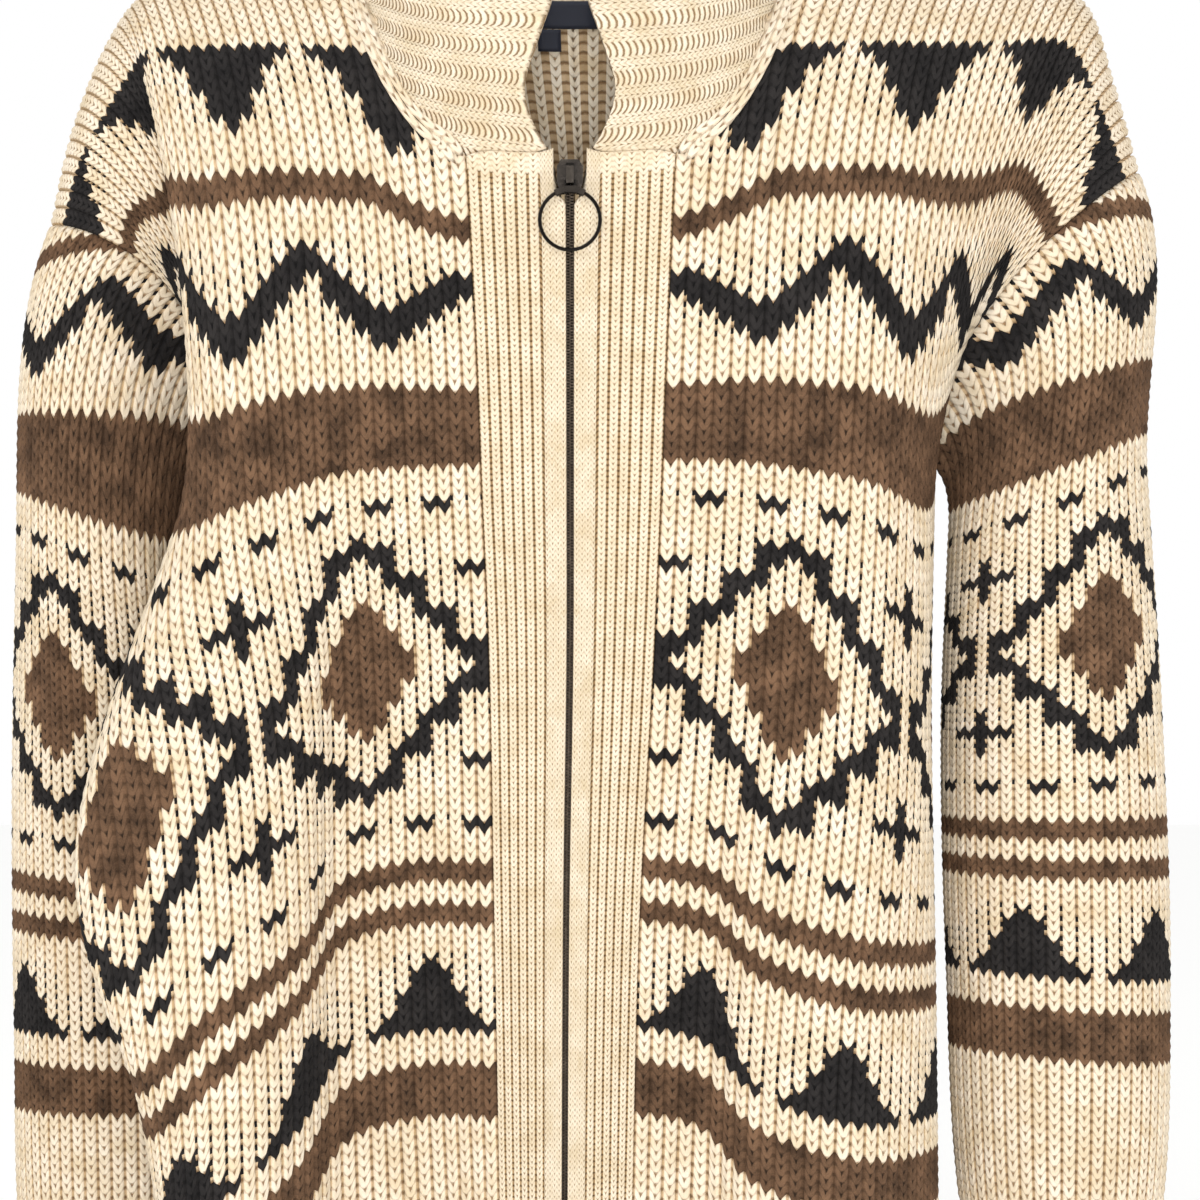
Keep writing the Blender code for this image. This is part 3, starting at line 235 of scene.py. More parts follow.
    def section(self, course: float) -> Array:
        """The body's closed outline at a course.

        Args:
            course: Distance down from the neck points.

        Returns:
            Points (across, depth, drop) from the zip round to the zip.
        """
        knots = [curve(self.levels, row[1:], course) for row in self.guides]
        count = len(knots)
        stretch = []
        for i in range(count):
            before, start, end, after = (knots[(i + k - 1) % count] for k in range(4))
            chord = [math.sqrt(np.linalg.norm((b - a)[:2])) for a, b in
                     ((before, start), (start, end), (end, after))]
            lead = ((start - before) / chord[0] - (end - before) / (chord[0] + chord[1])
                    + (end - start) / chord[1])
            tail = ((end - start) / chord[1] - (after - start) / (chord[1] + chord[2])
                    + (after - end) / chord[2])
            share = np.linspace(0, 1, self.samples, endpoint=False)[:, None]
            stretch.append(hermite(start, lead * chord[1], end, tail * chord[1], share))
        points = np.concatenate(stretch)
        return np.concatenate([points, points[:1]])

    def sampled(self) -> Array:
        """The body from the armpit down as a fine grid: one row a course, one column a wale."""
        names = [row[0] for row in self.guides]
        rows = []
        wales = np.linspace(0, self.girth, self.section_points + 1)
        for course in np.linspace(self.levels[0], self.levels[-1], self.section_rows):
            points = self.section(course)
            chords = np.linalg.norm(np.diff(points[:, :2], axis=0), axis=1)
            run = np.concatenate([[0], np.cumsum(chords)])
            left, seam, middle, right = (run[names.index(name) * self.samples] for name in self.pinned)
            knots = (0.0, left, self.quarter, 2 * self.quarter, self.girth - (run[-1] - right),
                     self.girth)
            places = curve(knots, (0.0, left, seam, middle, right, run[-1]), wales)
            rows.append(np.stack([np.interp(places, run, points[:, k]) for k in range(3)], 1))
        grid = np.array(rows)[:, :-1]
        for _ in range(self.softening):
            grid = 0.25 * np.roll(grid, 1, 1) + 0.5 * grid + 0.25 * np.roll(grid, -1, 1)
        return np.concatenate([grid, grid[:, :1]], 1)

    def lower(self, wale: Array, course: Array) -> Array:
        """Point on the cloth from the armpit down."""
        around = np.mod(wale / self.girth, 1.0) * self.section_points
        down = (course - self.levels[0]) / (self.levels[-1] - self.levels[0]) * (self.section_rows - 1)
        point = read_grid(self.grid, around, np.clip(down, 0, self.section_rows - 1))
        return np.stack([point[..., 0], point[..., 1], -course - point[..., 2]], -1)

    def pulled(self, wale: Array, course: Array) -> Array:
        """Shift wales near the zip so that the plackets draw in towards the hem."""
        edge = curve(column(self.band_pull, 0), column(self.band_pull, 1), course)
        size = np.abs(wale)
        outside = size + (edge - self.placket) * (self.quarter - size) / (self.quarter - self.placket)
        near = np.where(size < self.placket, size * edge / self.placket, outside)
        return np.sign(wale) * np.where(size < self.quarter, near, size)

    def shoulder_start(self, wale: Array, back: bool) -> Laid:
        """Where a wale starts on the shoulder line.

        Args:
            wale: Distance round from the zip.
            back: Whether the wale is on the back.

        Returns:
            The starting points, the directions in which the wales leave them, and the courses
            at which they start. Wales inside the neck start on a line that bridges it.
        """
        reach = np.abs(2 * self.quarter - wale) if back else np.abs(wale)
        leftward = (2 * self.quarter - wale >= 0) if back else (wale >= 0)
        share = np.clip((reach - self.neck_half) / (self.quarter - self.neck_half), 0, 1)
        left = curve(column(self.shoulders[1], 0), [row[1:] for row in self.shoulders[1]], share)
        right = curve(column(self.shoulders[-1], 0), [row[1:] for row in self.shoulders[-1]], share)
        place = np.where(leftward[..., None], left, right)
        inner = np.clip(reach / self.neck_half, 0, 1)
        round_off = 1 - inner ** 2
        depth = self.shoulder_depth + self.neck_reach[1 if back else 0] * round_off
        start = np.stack([place[..., 0] * np.where(reach < self.neck_half, inner, 1.0), depth,
                          place[..., 1] + np.zeros_like(depth)], -1)
        forward = 1.0 if back else -1.0
        leave = np.stack([np.zeros_like(depth), forward * (1 - self.neck_turn * round_off),
                          -self.neck_dip * round_off], -1)
        return start, unit(leave), self.shoulder_fall * share

    def point(self, wale: Array, course: Array, back: bool = False) -> Array:
        """Point on the mean outer face of the body.

        Args:
            wale: From -quarter to quarter over the front, and on to 3 quarters over the back.
            course: Distance down from the neck points.
            back: Whether the point is on the back.

        Returns:
            Points in millimetres.
        """
        wale, course = matched(wale, course)
        level = np.full_like(course, self.armpit)
        shifted = wale if back else self.pulled(wale, course)
        low = self.lower(shifted, np.maximum(course, self.armpit))
        start, leave, first = self.shoulder_start(wale, back)
        anchor = wale if back else self.pulled(wale, level)
        foot = self.lower(anchor, level)
        below = self.lower(anchor, level + STEP)
        length = (self.armpit - first)[..., None]
        arrive = (below - foot) / STEP
        to_side = np.minimum(np.abs(wale - self.quarter),
                             np.minimum(np.abs(wale + self.quarter), np.abs(wale - 3 * self.quarter)))
        spread = self.underarm_spread * ease(1 - to_side / self.underarm_blend)
        arrive[..., 1] += -spread if back else spread
        share = np.clip((course - first) / length[..., 0], 0, 1)[..., None]
        high = hermite(start, leave * length, foot, arrive * length, share)
        if not back:
            drift = self.lower(self.pulled(wale, np.minimum(course, self.armpit)), level) - foot
            from_neck = np.clip((np.abs(wale) - self.placket) / (self.neck_half - self.placket), 0, 1)
            high = high + drift * (1 - (1 - share) * from_neck[..., None])
        return np.where((course < self.armpit)[..., None], high, low)

    def normal(self, wale: Array, course: Array, back: bool = False) -> Array:
        """Outward direction of the body's cloth."""
        wale, course = matched(wale, course)
        low, high = (self.quarter, 3 * self.quarter) if back else (-self.quarter, self.quarter)
        after = self.point(np.minimum(wale + STEP, high), course, back)
        before = self.point(np.maximum(wale - STEP, low), course, back)
        first = self.shoulder_start(wale, back)[2]
        up = np.maximum(course - STEP, np.minimum(first, course))
        down = self.point(wale, course + STEP, back) - self.point(wale, up, back)
        return unit(np.cross(down, after - before))

    def neck_front(self, wale: Array) -> Array:
        """Course of the front neckline, with a small step down to the top of the placket."""
        reach = np.clip((np.abs(wale) - self.placket) / (self.neck_half - self.placket), 0, 1)
        past = np.clip(1 - (np.abs(wale) - self.placket) / self.neck_step, 0, 1)
        return (self.neck_depth_front * np.sqrt(1 - reach ** 3)
                + (self.placket_top - self.neck_depth_front) * past ** 2)

    def neck_back(self, wale: Array) -> Array:
        """Course of the back neckline."""
        reach = np.clip(np.abs(2 * self.quarter - wale) / self.neck_half, 0, 1)
        return self.neck_depth_back * np.sqrt(1 - reach ** 2)

    def top_course(self, wale: Array, back: bool) -> Array:
        """Course where a wale starts: on the neckline or on the shoulder seam."""
        reach = np.abs(2 * self.quarter - wale) if back else np.abs(wale)
        seam = self.shoulder_fall * (reach - self.neck_half) / (self.quarter - self.neck_half)
        neckline = self.neck_back(wale) if back else self.neck_front(wale)
        return np.where(reach < self.neck_half, neckline, seam)

    def seam_normal(self, side: int, reach: Array, course: Array) -> Array:
        """Direction shared by front and back on the shoulder seam and the side seam."""
        reach, course = matched(reach, course)
        front = self.normal(side * reach, course)
        behind = self.normal(2 * self.quarter - side * reach, course, True)
        return unit(front + behind)


@dataclass
class SleeveForm:
    """A hanging sleeve, from its cap on the armhole down to the end of its cuff."""

    body: BodyForm
    side: int
    cap_height: float = 105.0
    cap_slope: float = 0.35
    cuff_end: float = 645.0
    # How the cloth leaves the armhole: outwards, towards the front or back, and up. Columns: at
    # the shoulder tip, what the armpit adds
    leave_out: tuple[float, float] = (0.35, 0.5)
    leave_up: tuple[float, float] = (-0.9, 0.35)
    leave_sway: float = -0.3
    # Sections. Columns: distance from the shoulder tip, across, depth, height, half width,
    # half depth, how much lower the inner side hangs
    sections: dict = field(default_factory=lambda: {
        -1: ((170, -264, 34, -336, 46, 64, 36), (300, -262, 46, -457, 53, 54, 18),
             (450, -260, 50, -600, 55, 43, 4), (580, -259, 50, -723, 52, 32, -4),
             (645, -258, 48, -788, 43, 26, -4)),
        1: ((170, 265, 18, -306, 54, 66, 40), (300, 267, 16, -421, 60, 58, 10),
            (450, 270, 10, -562, 61, 44, -8), (580, 271, 8, -691, 55, 32, -8),
            (645, 271, 8, -757, 44, 26, -4)),
    })

    def cap(self, offset: Array) -> Array:
        """Distance from the tip at which the sleeve starts, by flat offset from its centre."""
        share = np.clip(np.abs(offset) / self.body.armhole, 0, 1)
        return self.cap_height * (self.cap_slope * share + (1 - self.cap_slope) * share ** 2)

    def tube(self, turn: Array, distance: Array) -> Array:
        """Point on the hanging tube. turn is 0 on the outer line and 1 or -1 inside."""
        table = self.sections[self.side]
        row = curve(column(table, 0), [r[1:] for r in table], distance)
        beyond = np.minimum(distance - table[0][0], 0.0)
        angle = math.pi * turn
        across = row[..., 0] + self.side * row[..., 3] * np.cos(angle)
        depth = row[..., 1] - row[..., 4] * np.sin(angle)
        height = row[..., 2] + row[..., 5] * 0.5 * np.cos(angle) - beyond
        return np.stack([across, depth, height], -1)

    def point(self, turn: Array, distance: Array) -> Array:
        """Point on the mean outer face of the sleeve.

        Args:
            turn: Place round the sleeve, positive over its front.
            distance: Distance down from the shoulder tip.

        Returns:
            Points in millimetres.
        """
        turn, distance = matched(turn, distance)
        quarter = self.body.quarter
        offset = np.abs(turn) * self.body.armhole
        course = self.body.shoulder_fall + offset
        front_edge = self.body.point(np.full_like(course, self.side * quarter), course)
        back_wale = quarter if self.side > 0 else 3 * quarter
        back_edge = self.body.point(np.full_like(course, back_wale), course, True)
        ring = np.where((turn >= 0)[..., None], front_edge, back_edge)
        start = self.cap(offset)
        join = float(self.sections[self.side][0][0])
        length = (join - start)[..., None]
        inward = ease(np.abs(turn))
        sway = np.sin(math.pi * np.abs(turn)) * np.sign(turn)
        leave = unit(np.stack([self.side * (self.leave_out[0] + self.leave_out[1] * inward),
                               self.leave_sway * sway,
                               self.leave_up[0] + self.leave_up[1] * inward], -1))
        end = self.tube(turn, np.full_like(distance, join))
        after = self.tube(turn, np.full_like(distance, join + STEP))
        share = np.clip((distance - start) / length[..., 0], 0, 1)[..., None]
        cap = hermite(ring, leave * length, end, (after - end) / STEP * length, share)
        return np.where((distance < join)[..., None], cap, self.tube(turn, distance))

    def normal(self, turn: Array, distance: Array) -> Array:
        """Outward direction of the sleeve's cloth."""
        turn, distance = matched(turn, distance)
        nudge = 0.012
        low = np.where(turn >= 0, np.maximum(turn - nudge, 0), turn - nudge)
        high = np.where(turn >= 0, turn + nudge, np.minimum(turn + nudge, -1e-6))
        around = self.point(np.clip(high, -1, 1), distance) - self.point(np.clip(low, -1, 1), distance)
        start = self.cap(np.abs(turn) * self.body.armhole)
        down = self.point(turn, distance + STEP) - self.point(turn, np.maximum(distance - STEP, start))
        return unit(np.cross(down, around)) * -self.side

    def armhole_normal(self, offset: Array, back: Array) -> Array:
        """Direction shared by body and sleeve on the armhole seam.

        Args:
            offset: Flat distance down the armhole from the shoulder tip.
            back: True on the back edge, for each offset.

        Returns:
            Unit vectors.
        """
        body = self.body
        offset, back = np.broadcast_arrays(np.asarray(offset, float), np.asarray(back, bool))
        turn = offset / body.armhole * np.where(back, -1, 1)
        at_end = ((offset < 0.01) | (offset > body.armhole - 0.01))[..., None]
        course = body.shoulder_fall + offset
        edge = np.full_like(offset, self.side * body.quarter)
        cloth = np.where(back[..., None], body.normal(2 * body.quarter - edge, course, True),
                         body.normal(edge, course))
        cloth = np.where(at_end, body.seam_normal(self.side, body.quarter, course), cloth)
        start = self.cap(offset)
        arm = self.normal(turn, start)
        arm = np.where(at_end, unit(arm + self.normal(-turn, start)), arm)
        return unit(cloth + arm)


@dataclass
class CollarForm:
    """The stand collar, whose front edges stand apart above the zip."""

    body: BodyForm
    half_width: float = 88.0
    front: float = -64.0
    back: float = 80.0
    bow: float = 9.0
    roll: float = 5.0
    axis: float = 8.0
    # Columns: place along the neck edge (0 at the front opening, 1 at centre back), angle round
    # the top oval in degrees, height of the top edge
    top: tuple = ((0.0, 4.0, 34.0), (0.16, 38.0, 38.0), (0.6, 92.0, 50.0), (1.0, 180.0, 60.0))
    # How far each front edge stands from the centre line. Columns: height above the zip, distance
    mouth: tuple = ((0.0, 7.6), (14.0, 16.5), (37.0, 24.0), (62.0, 17.5), (88.0, 9.0), (125.0, 6.5),
                    (165.0, 8.0))

    def neck_edge(self, side: int, place: float) -> tuple[float, float, bool]:
        """Wale, course and half (front or back) of a place along the neck edge."""
        body = self.body
        first, second = self.top[1][0], self.top[2][0]
        if place <= first:
            start = self.mouth[0][1]
            return side * (start + (body.placket - start) * place / first), body.placket_top, False
        if place <= second:
            angle = 0.5 * math.pi * (place - first) / (second - first)
            wale = body.placket + (body.neck_half - body.placket) * math.sin(angle)
            return side * wale, float(body.neck_front(np.array(wale))), False
        angle = 0.5 * math.pi * (place - second) / (1 - second)
        reach = body.neck_half * math.cos(angle)
        return 2 * body.quarter - side * reach, body.neck_depth_back * math.sin(angle), True

    def neck_place(self, wale: float, back: bool) -> float:
        """Place along the neck edge of a wale that ends on the neckline."""
        body = self.body
        first, second = self.top[1][0], self.top[2][0]
        if back:
            reach = abs(2 * body.quarter - wale)
            return second + (1 - second) * math.acos(min(reach / body.neck_half, 1.0)) * 2 / math.pi
        if abs(wale) <= body.placket:
            start = self.mouth[0][1]
            return first * max(abs(wale) - start, 0.0) / (body.placket - start)
        share = min((abs(wale) - body.placket) / (body.neck_half - body.placket), 1.0)
        return first + (second - first) * math.asin(share) * 2 / math.pi

    def ends(self, side: int, place: float) -> tuple[Array, Array]:
        """Points at the foot and the top of the collar at a place along the neck edge."""
        wale, course, back = self.neck_edge(side, place)
        foot = self.body.point(wale, course, back)
        angle = math.radians(float(curve(column(self.top, 0), column(self.top, 1), place)))
        height = float(curve(column(self.top, 0), column(self.top, 2), place))
        middle = 0.5 * (self.front + self.back)
        reach = 0.5 * (self.back - self.front)
        return foot, np.array([side * self.half_width * math.sin(angle),
                               middle - reach * math.cos(angle), height])

    def length(self, side: int, place: float) -> float:
        """Height of the collar along its cloth."""
        foot, top = self.ends(side, place)
        return float(np.linalg.norm(top - foot))

    def stand(self, side: int, place: float, share: Array) -> Array:
        """Point before the front edges are drawn apart. share is 1 at the foot."""
        foot, top = self.ends(side, place)
        out = np.array([top[0], top[1] - self.axis, 0.0])
        out = out / max(float(np.linalg.norm(out)), 1e-6)
        bow = self.bow * np.sin(math.pi * share) + self.roll * (1 - share) ** 4
        return top + (foot - top) * share + out * bow

    def point(self, side: int, place: float, drop: Array) -> Array:
        """Points on the mean outer face, at distances down from the top edge."""
        length = self.length(side, place)
        share = np.clip(np.asarray(drop, float) / length, 0, 1)[..., None]
        point = self.stand(side, place, share)
        near = 1 - place / self.top[1][0]
        if near > 0:
            heights = (1 - share[..., 0]) * length
            mouth = curve(column(self.mouth, 0), column(self.mouth, 1), heights)
            point[..., 0] += (side * mouth - self.stand(side, 0.0, share)[..., 0]) * near
        return point

    def normal(self, side: int, place: float, drop: Array) -> Array:
        """Outward direction of the collar's cloth."""
        nudge = 0.01
        before = self.point(side, max(place - nudge, 0.0), drop)
        after = self.point(side, min(place + nudge, 1.0), drop)
        lower = np.minimum(drop + STEP, self.length(side, place))
        down = self.point(side, place, lower) - self.point(side, place, np.maximum(drop - STEP, 0))
        return unit(np.cross(down, after - before)) * side

    def neck_normal(self, side: int, place: float) -> Array:
        """Direction shared by body and collar where they meet."""
        body = self.body
        wale, course, back = self.neck_edge(side, place)
        if abs(place - self.top[2][0]) < 1e-6:
            cloth = body.seam_normal(side, body.neck_half, 0.0)
        else:
            cloth = body.normal(wale, course, back)
        return unit(cloth + self.normal(side, place, np.array(self.length(side, place))))


# --------------------------------------------------------------------------- meshes

def linear(hex_colour: str) -> tuple[float, float, float, float]:
    """An sRGB hex colour as linear light.

    Args:
        hex_colour: Six hex digits.

    Returns:
        Red, green, blue and an alpha of 1.
    """
    channels = [int(hex_colour[i:i + 2], 16) / 255 for i in (0, 2, 4)]
    light = [c / 12.92 if c <= 0.04045 else ((c + 0.055) / 1.055) ** 2.4 for c in channels]
    return light[0], light[1], light[2], 1.0


@dataclass
class Skin:
    """One face of the cloth: points, faces with their yarns and chart places, and its edges."""

    points: Array
    faces: Array
    yarns: Array
    charts: Array
    top: Array
    bottom: Array
    left: Array
    right: Array


def knit_skin(points: Array, charts: Array, yarns: Array | None = None, first: Array | None = None,
              last: Array | None = None, closed: bool = False) -> Skin:
    """Turn a grid of points, clamped at both ends of each column, into a skin.

    Args:
        points: Points by column and line.
        charts: Chart place (across, along) of each point.
        yarns: Yarn of each face, by column and line, or None for the first one everywhere.
        first: Index of the line on which each column starts, or None for the first line.
        last: Index of the line on which each column ends, or None for the last line.
        closed: Whether the last column joins the first one.

    Returns:
        The skin, with clamped points left out.
    """
    columns, lines = points.shape[:2]
    first = np.zeros(columns, int) if first is None else first
    last = np.full(columns, lines - 1) if last is None else last
    index = np.arange(columns * lines).reshape(columns, lines)
    line = np.clip(np.arange(lines)[None], first[:, None], last[:, None])
    index = np.take_along_axis(index, line, 1)
    after = np.roll(index, -1, 0) if closed else index[1:]
    before = index if closed else index[:-1]
    quads = np.stack([before[:, :-1], before[:, 1:], after[:, 1:], after[:, :-1]], -1).reshape(-1, 4)
    kinds = np.zeros(len(quads), int) if yarns is None else yarns.reshape(-1)
    kept = ~((quads[:, 0] == quads[:, 1]) & (quads[:, 2] == quads[:, 3]))
    order = np.arange(columns)
    return Skin(points.reshape(-1, 3), quads[kept], kinds[kept], charts.reshape(-1, 2),
                index[order, first], index[order, last], index[0, first[0]:last[0] + 1],
                index[-1, first[-1]:last[-1] + 1])


def zipped(one: Array, other: Array, points: Array) -> list[tuple[int, int, int]]:
    """Triangles between two lines of points, taking the shorter diagonal each time.

    Args:
        one: Indices along one line.
        other: Indices along the other, in the same direction.
        points: All points.

    Returns:
        The triangles' indices.
    """
    faces = []
    i = j = 0
    while i < len(one) - 1 or j < len(other) - 1:
        ahead_one = ahead_other = math.inf
        if i < len(one) - 1:
            ahead_one = float(np.sum((points[one[i + 1]] - points[other[j]]) ** 2))
        if j < len(other) - 1:
            ahead_other = float(np.sum((points[one[i]] - points[other[j + 1]]) ** 2))
        if ahead_one <= ahead_other:
            faces.append((one[i], one[i + 1], other[j]))
            i += 1
        else:
            faces.append((one[i], other[j + 1], other[j]))
            j += 1
    return faces


def cloth(name: str, outer: Skin, inner: Skin, finishes: Sequence[Material],
          outward: bool = True, closed: bool = False) -> Thing:
    """A mesh object of two skins joined round their edges.

    Args:
        name: The object's name.
        outer: The skin that faces out.
        inner: The skin that faces the wearer.
        finishes: A material for each yarn.
        outward: Whether the outer skin's faces already face out.
        closed: Whether the cloth is a tube.

    Returns:
        The new object, in metres.
    """
    shift = len(outer.points)
    points = np.concatenate([outer.points, inner.points])
    quads = np.concatenate([outer.faces, inner.faces[:, ::-1] + shift])
    yarns = np.concatenate([outer.yarns, inner.yarns])
    charts = np.concatenate([outer.charts, inner.charts])
    pairs = [(outer.top, inner.top, False), (outer.bottom, inner.bottom, True)]
    if closed:
        pairs = [(np.append(a, a[0]), np.append(b, b[0]), flip) for a, b, flip in pairs]
    else:
        pairs += [(outer.left, inner.left, True), (outer.right, inner.right, False)]
    rims = []
    for one, other, flip in pairs:
        made = np.array(zipped(one, other + shift, points))
        rims.append(made[:, ::-1] if flip else made)
    rims = np.concatenate(rims)
    rims = np.concatenate([rims, rims[:, 2:]], 1)
    faces = np.concatenate([quads, rims])
    yarns = np.concatenate([yarns, np.zeros(len(rims), int)])
    if not outward:
        faces = faces[:, ::-1]
    return meshed(name, points, faces, yarns, charts, finishes)


def meshed(name: str, points: Array, faces: Array, yarns: Array, charts: Array,
           finishes: Sequence[Material]) -> Thing:
    """A smooth mesh object from quads, some of which repeat a corner and are triangles.

    Args:
        name: The object's name.
        points: Points in millimetres.
        faces: Four indices a face.
        yarns: Material index of each face.
        charts: Chart place of each point, kept as the UV map.
        finishes: The materials.

    Returns:
        The new object, in metres.
    """
    used, faces = np.unique(faces, return_inverse=True)
    faces = faces.reshape(-1, 4)
    points = points[used]
    charts = charts[used]
    keep = faces != np.roll(faces, 1, 1)
    totals = keep.sum(1)
    starts = np.concatenate([[0], np.cumsum(totals)[:-1]])
    corners = faces[keep]
    mesh = bpy.data.meshes.new(name)
    mesh.vertices.add(len(points))
    mesh.vertices.foreach_set("co", (points * MM).astype(np.float32).ravel())
    mesh.loops.add(len(corners))
    mesh.loops.foreach_set("vertex_index", corners.astype(np.int32))
    mesh.polygons.add(len(faces))
    mesh.polygons.foreach_set("loop_start", starts.astype(np.int32))
    mesh.polygons.foreach_set("material_index", yarns.astype(np.int32))
    layer = mesh.uv_layers.new(name="chart")
    layer.data.foreach_set("uv", charts[corners].astype(np.float32).ravel())
    mesh.update(calc_edges=True)
    mesh.validate()
    mesh.shade_smooth()
    for finish in finishes:
        mesh.materials.append(finish)
    thing = bpy.data.objects.new(name, mesh)
    bpy.context.scene.collection.objects.link(thing)
    return thing


# --------------------------------------------------------------------------- finishes

def add_node(tree: Tree, kind: str, settings: dict | None = None, links: dict | None = None) -> Node:
    """Add a node with its settings and links.

    Args:
        tree: The material's node tree.
        kind: The node's type, such as Math.
        settings: Attributes by name, and socket values by name or number.
        links: Output sockets, or nodes for their first one, by the name or number of the input
            that they feed.

    Returns:
        The node.
    """
    node = tree.nodes.new("ShaderNode" + kind)
    for key, value in (settings or {}).items():
        if isinstance(key, str) and hasattr(node, key):
            setattr(node, key, value)
        else:
            node.inputs[key].default_value = value
    for key, source in (links or {}).items():
        tree.links.new(source.outputs[0] if isinstance(source, Node) else source, node.inputs[key])
    return node


def started(name: str, settings: dict) -> tuple[Material, Node]:
    """Start a material.

    Args:
        name: Its name.
        settings: Values of its shader's sockets, by name.

    Returns:
        The material and its Principled BSDF.
    """
    material = bpy.data.materials.new(name)
    material.use_nodes = True
    shader = material.node_tree.nodes["Principled BSDF"]
    for key, value in settings.items():
        shader.inputs[key].default_value = value
    return material, shader


@dataclass(frozen=True)
class BrushedWool:
    """Brushed wool yarn: matt, with a pale halo of fibres, slightly uneven dye and painted shade in the
    creases of its stitches.
    """

    name: str
    light: str
    dark: str
    # Colour painted as shade into the creases of the stitches and where their legs meet
    shaded_crease: str
    fibre_mm: float = 0.45
    fuzz_mm: float = 0.8
    row_mm: float = 5.7
    roughness: float = 0.95
    sheen: float = 0.15
    relief_mm: float = 0.9
    purl: bool = False

    def made(self) -> Material:
        """Build the material.

        Returns:
            A wool whose fibres run along the legs of the stitches.
        """
        material, shader = started(self.name, {
            "Roughness": self.roughness, "Sheen Weight": self.sheen, "Sheen Roughness": 0.6,
            "Sheen Tint": linear(self.light), "Specular IOR Level": 0.2})
        tree = material.node_tree
        place = add_node(tree, "TexCoord")
        fuzz = add_node(tree, "TexNoise", {"Scale": 1 / (self.fuzz_mm * MM), "Detail": 2.0},
                        {"Vector": place.outputs["Object"]})
        # Fibres follow the legs, which run across the chart and are one row thick.
        along = add_node(tree, "Mapping", {"Scale": (4.0, self.row_mm / self.fibre_mm, 1.0)},
                         {"Vector": place.outputs["UV"]})
        fibres = add_node(tree, "TexNoise", {"Scale": 1.0, "Detail": 3.0, "Roughness": 0.65},
                          {"Vector": along})
        both = add_node(tree, "Math", {"operation": "ADD"}, {0: fibres, 1: fuzz})
        wool = self.dyed(tree, place, both)
        leg_relief_and_shade = self.stitched(tree, place, fuzz)
        # Painted shade: where the mask falls, in the creases and where the legs meet, the darker colour
        # is mixed in
        depth = add_node(tree, "MapRange", {1: 0.0, 2: 0.9}, {0: leg_relief_and_shade})
        mix = add_node(tree, "Mix", {"data_type": "RGBA", 6: linear(self.shaded_crease)},
                       {0: depth, 7: wool.outputs[2]})
        tree.links.new(mix.outputs[2], shader.inputs["Base Color"])
        height = add_node(tree, "Math", {"operation": "MULTIPLY_ADD", 1: 0.2}, {0: both, 2: leg_relief_and_shade})
        bump = add_node(tree, "Bump", {"Strength": 1.0, "Distance": self.relief_mm * MM},
                        {"Height": height})
        tree.links.new(bump.outputs[0], shader.inputs["Normal"])
        return material

    def dyed(self, tree: Tree, place: Node, fibres: Node) -> Node:
        """Dye the yarn unevenly: in broad clouds, from stitch to stitch and from fibre to fibre.

        Args:
            tree: The material's node tree.
            place: The node that gives places on the object and on the chart.
            fibres: The node that gives the fibres.

        Returns:
            The node that gives the yarn's colour.
        """
        cloud = add_node(tree, "TexNoise", {"Scale": 60.0, "Detail": 3.0},
                         {"Vector": place.outputs["Object"]})
        # A stitch reaches half a square to each side of its number on the chart.
        moved = add_node(tree, "VectorMath", {"operation": "ADD", 1: (0.5, 0.0, 0.0)},
                         {0: place.outputs["UV"]})
        square = add_node(tree, "VectorMath", {"operation": "FLOOR"}, {0: moved})
        stitch = add_node(tree, "TexWhiteNoise", {"noise_dimensions": "2D"}, {"Vector": square})
        base = add_node(tree, "Math", {"operation": "MULTIPLY_ADD", 1: 0.2}, {0: stitch, 2: cloud})
        tone = add_node(tree, "Math", {"operation": "MULTIPLY_ADD", 1: 0.4}, {0: fibres, 2: base})
        ramp = add_node(tree, "MapRange", {1: 0.75, 2: 1.25}, {0: tone})
        return add_node(tree, "Mix", {"data_type": "RGBA", 6: linear(self.dark),
                                      7: linear(self.light)}, {0: ramp})

    def stitched(self, tree: Tree, place: Node, fuzz: Node) -> Node:
        """Shape the stitches on the chart, where each is one square.

        A knit stitch's two legs thin out at both ends, creases run where they dive under their
        neighbours and are painted darker as shade, and a dark dot of painted shade shows where they
        meet. A purl stitch is one bump across the whole square, with painted shade where it meets the
        next row.

        Args:
            tree: The material's node tree.
            place: The node that gives places on the chart.
            fuzz: The noise that makes the legs' edges uneven.

        Returns:
            The node that is 1 on the legs and falls to 0 in the creases, used for the relief and as the
            mask of the painted shade.
        """
        uneven = add_node(tree, "VectorMath", {"operation": "MULTIPLY_ADD", 1: (0.1, 0.2, 0.0)},
                          {0: fuzz.outputs["Color"], 2: place.outputs["UV"]})
        centred = add_node(tree, "VectorMath", {"operation": "SUBTRACT", 1: (0.05, 0.1, 0.0)},
                           {0: uneven})
        chart = add_node(tree, "SeparateXYZ", {}, {0: centred})
        across = add_node(tree, "Math", {"operation": "PINGPONG", 1: 0.5}, {0: chart})
        along = add_node(tree, "Math", {"operation": "PINGPONG", 1: 0.5}, {0: chart.outputs[1]})
        taper = add_node(tree, "Math", {"operation": "PINGPONG", 1: 0.21}, {0: across})
        reach = add_node(tree, "Math", {"operation": "MULTIPLY_ADD", 1: 0.0 if self.purl else 0.75},
                         {0: taper, 2: along})
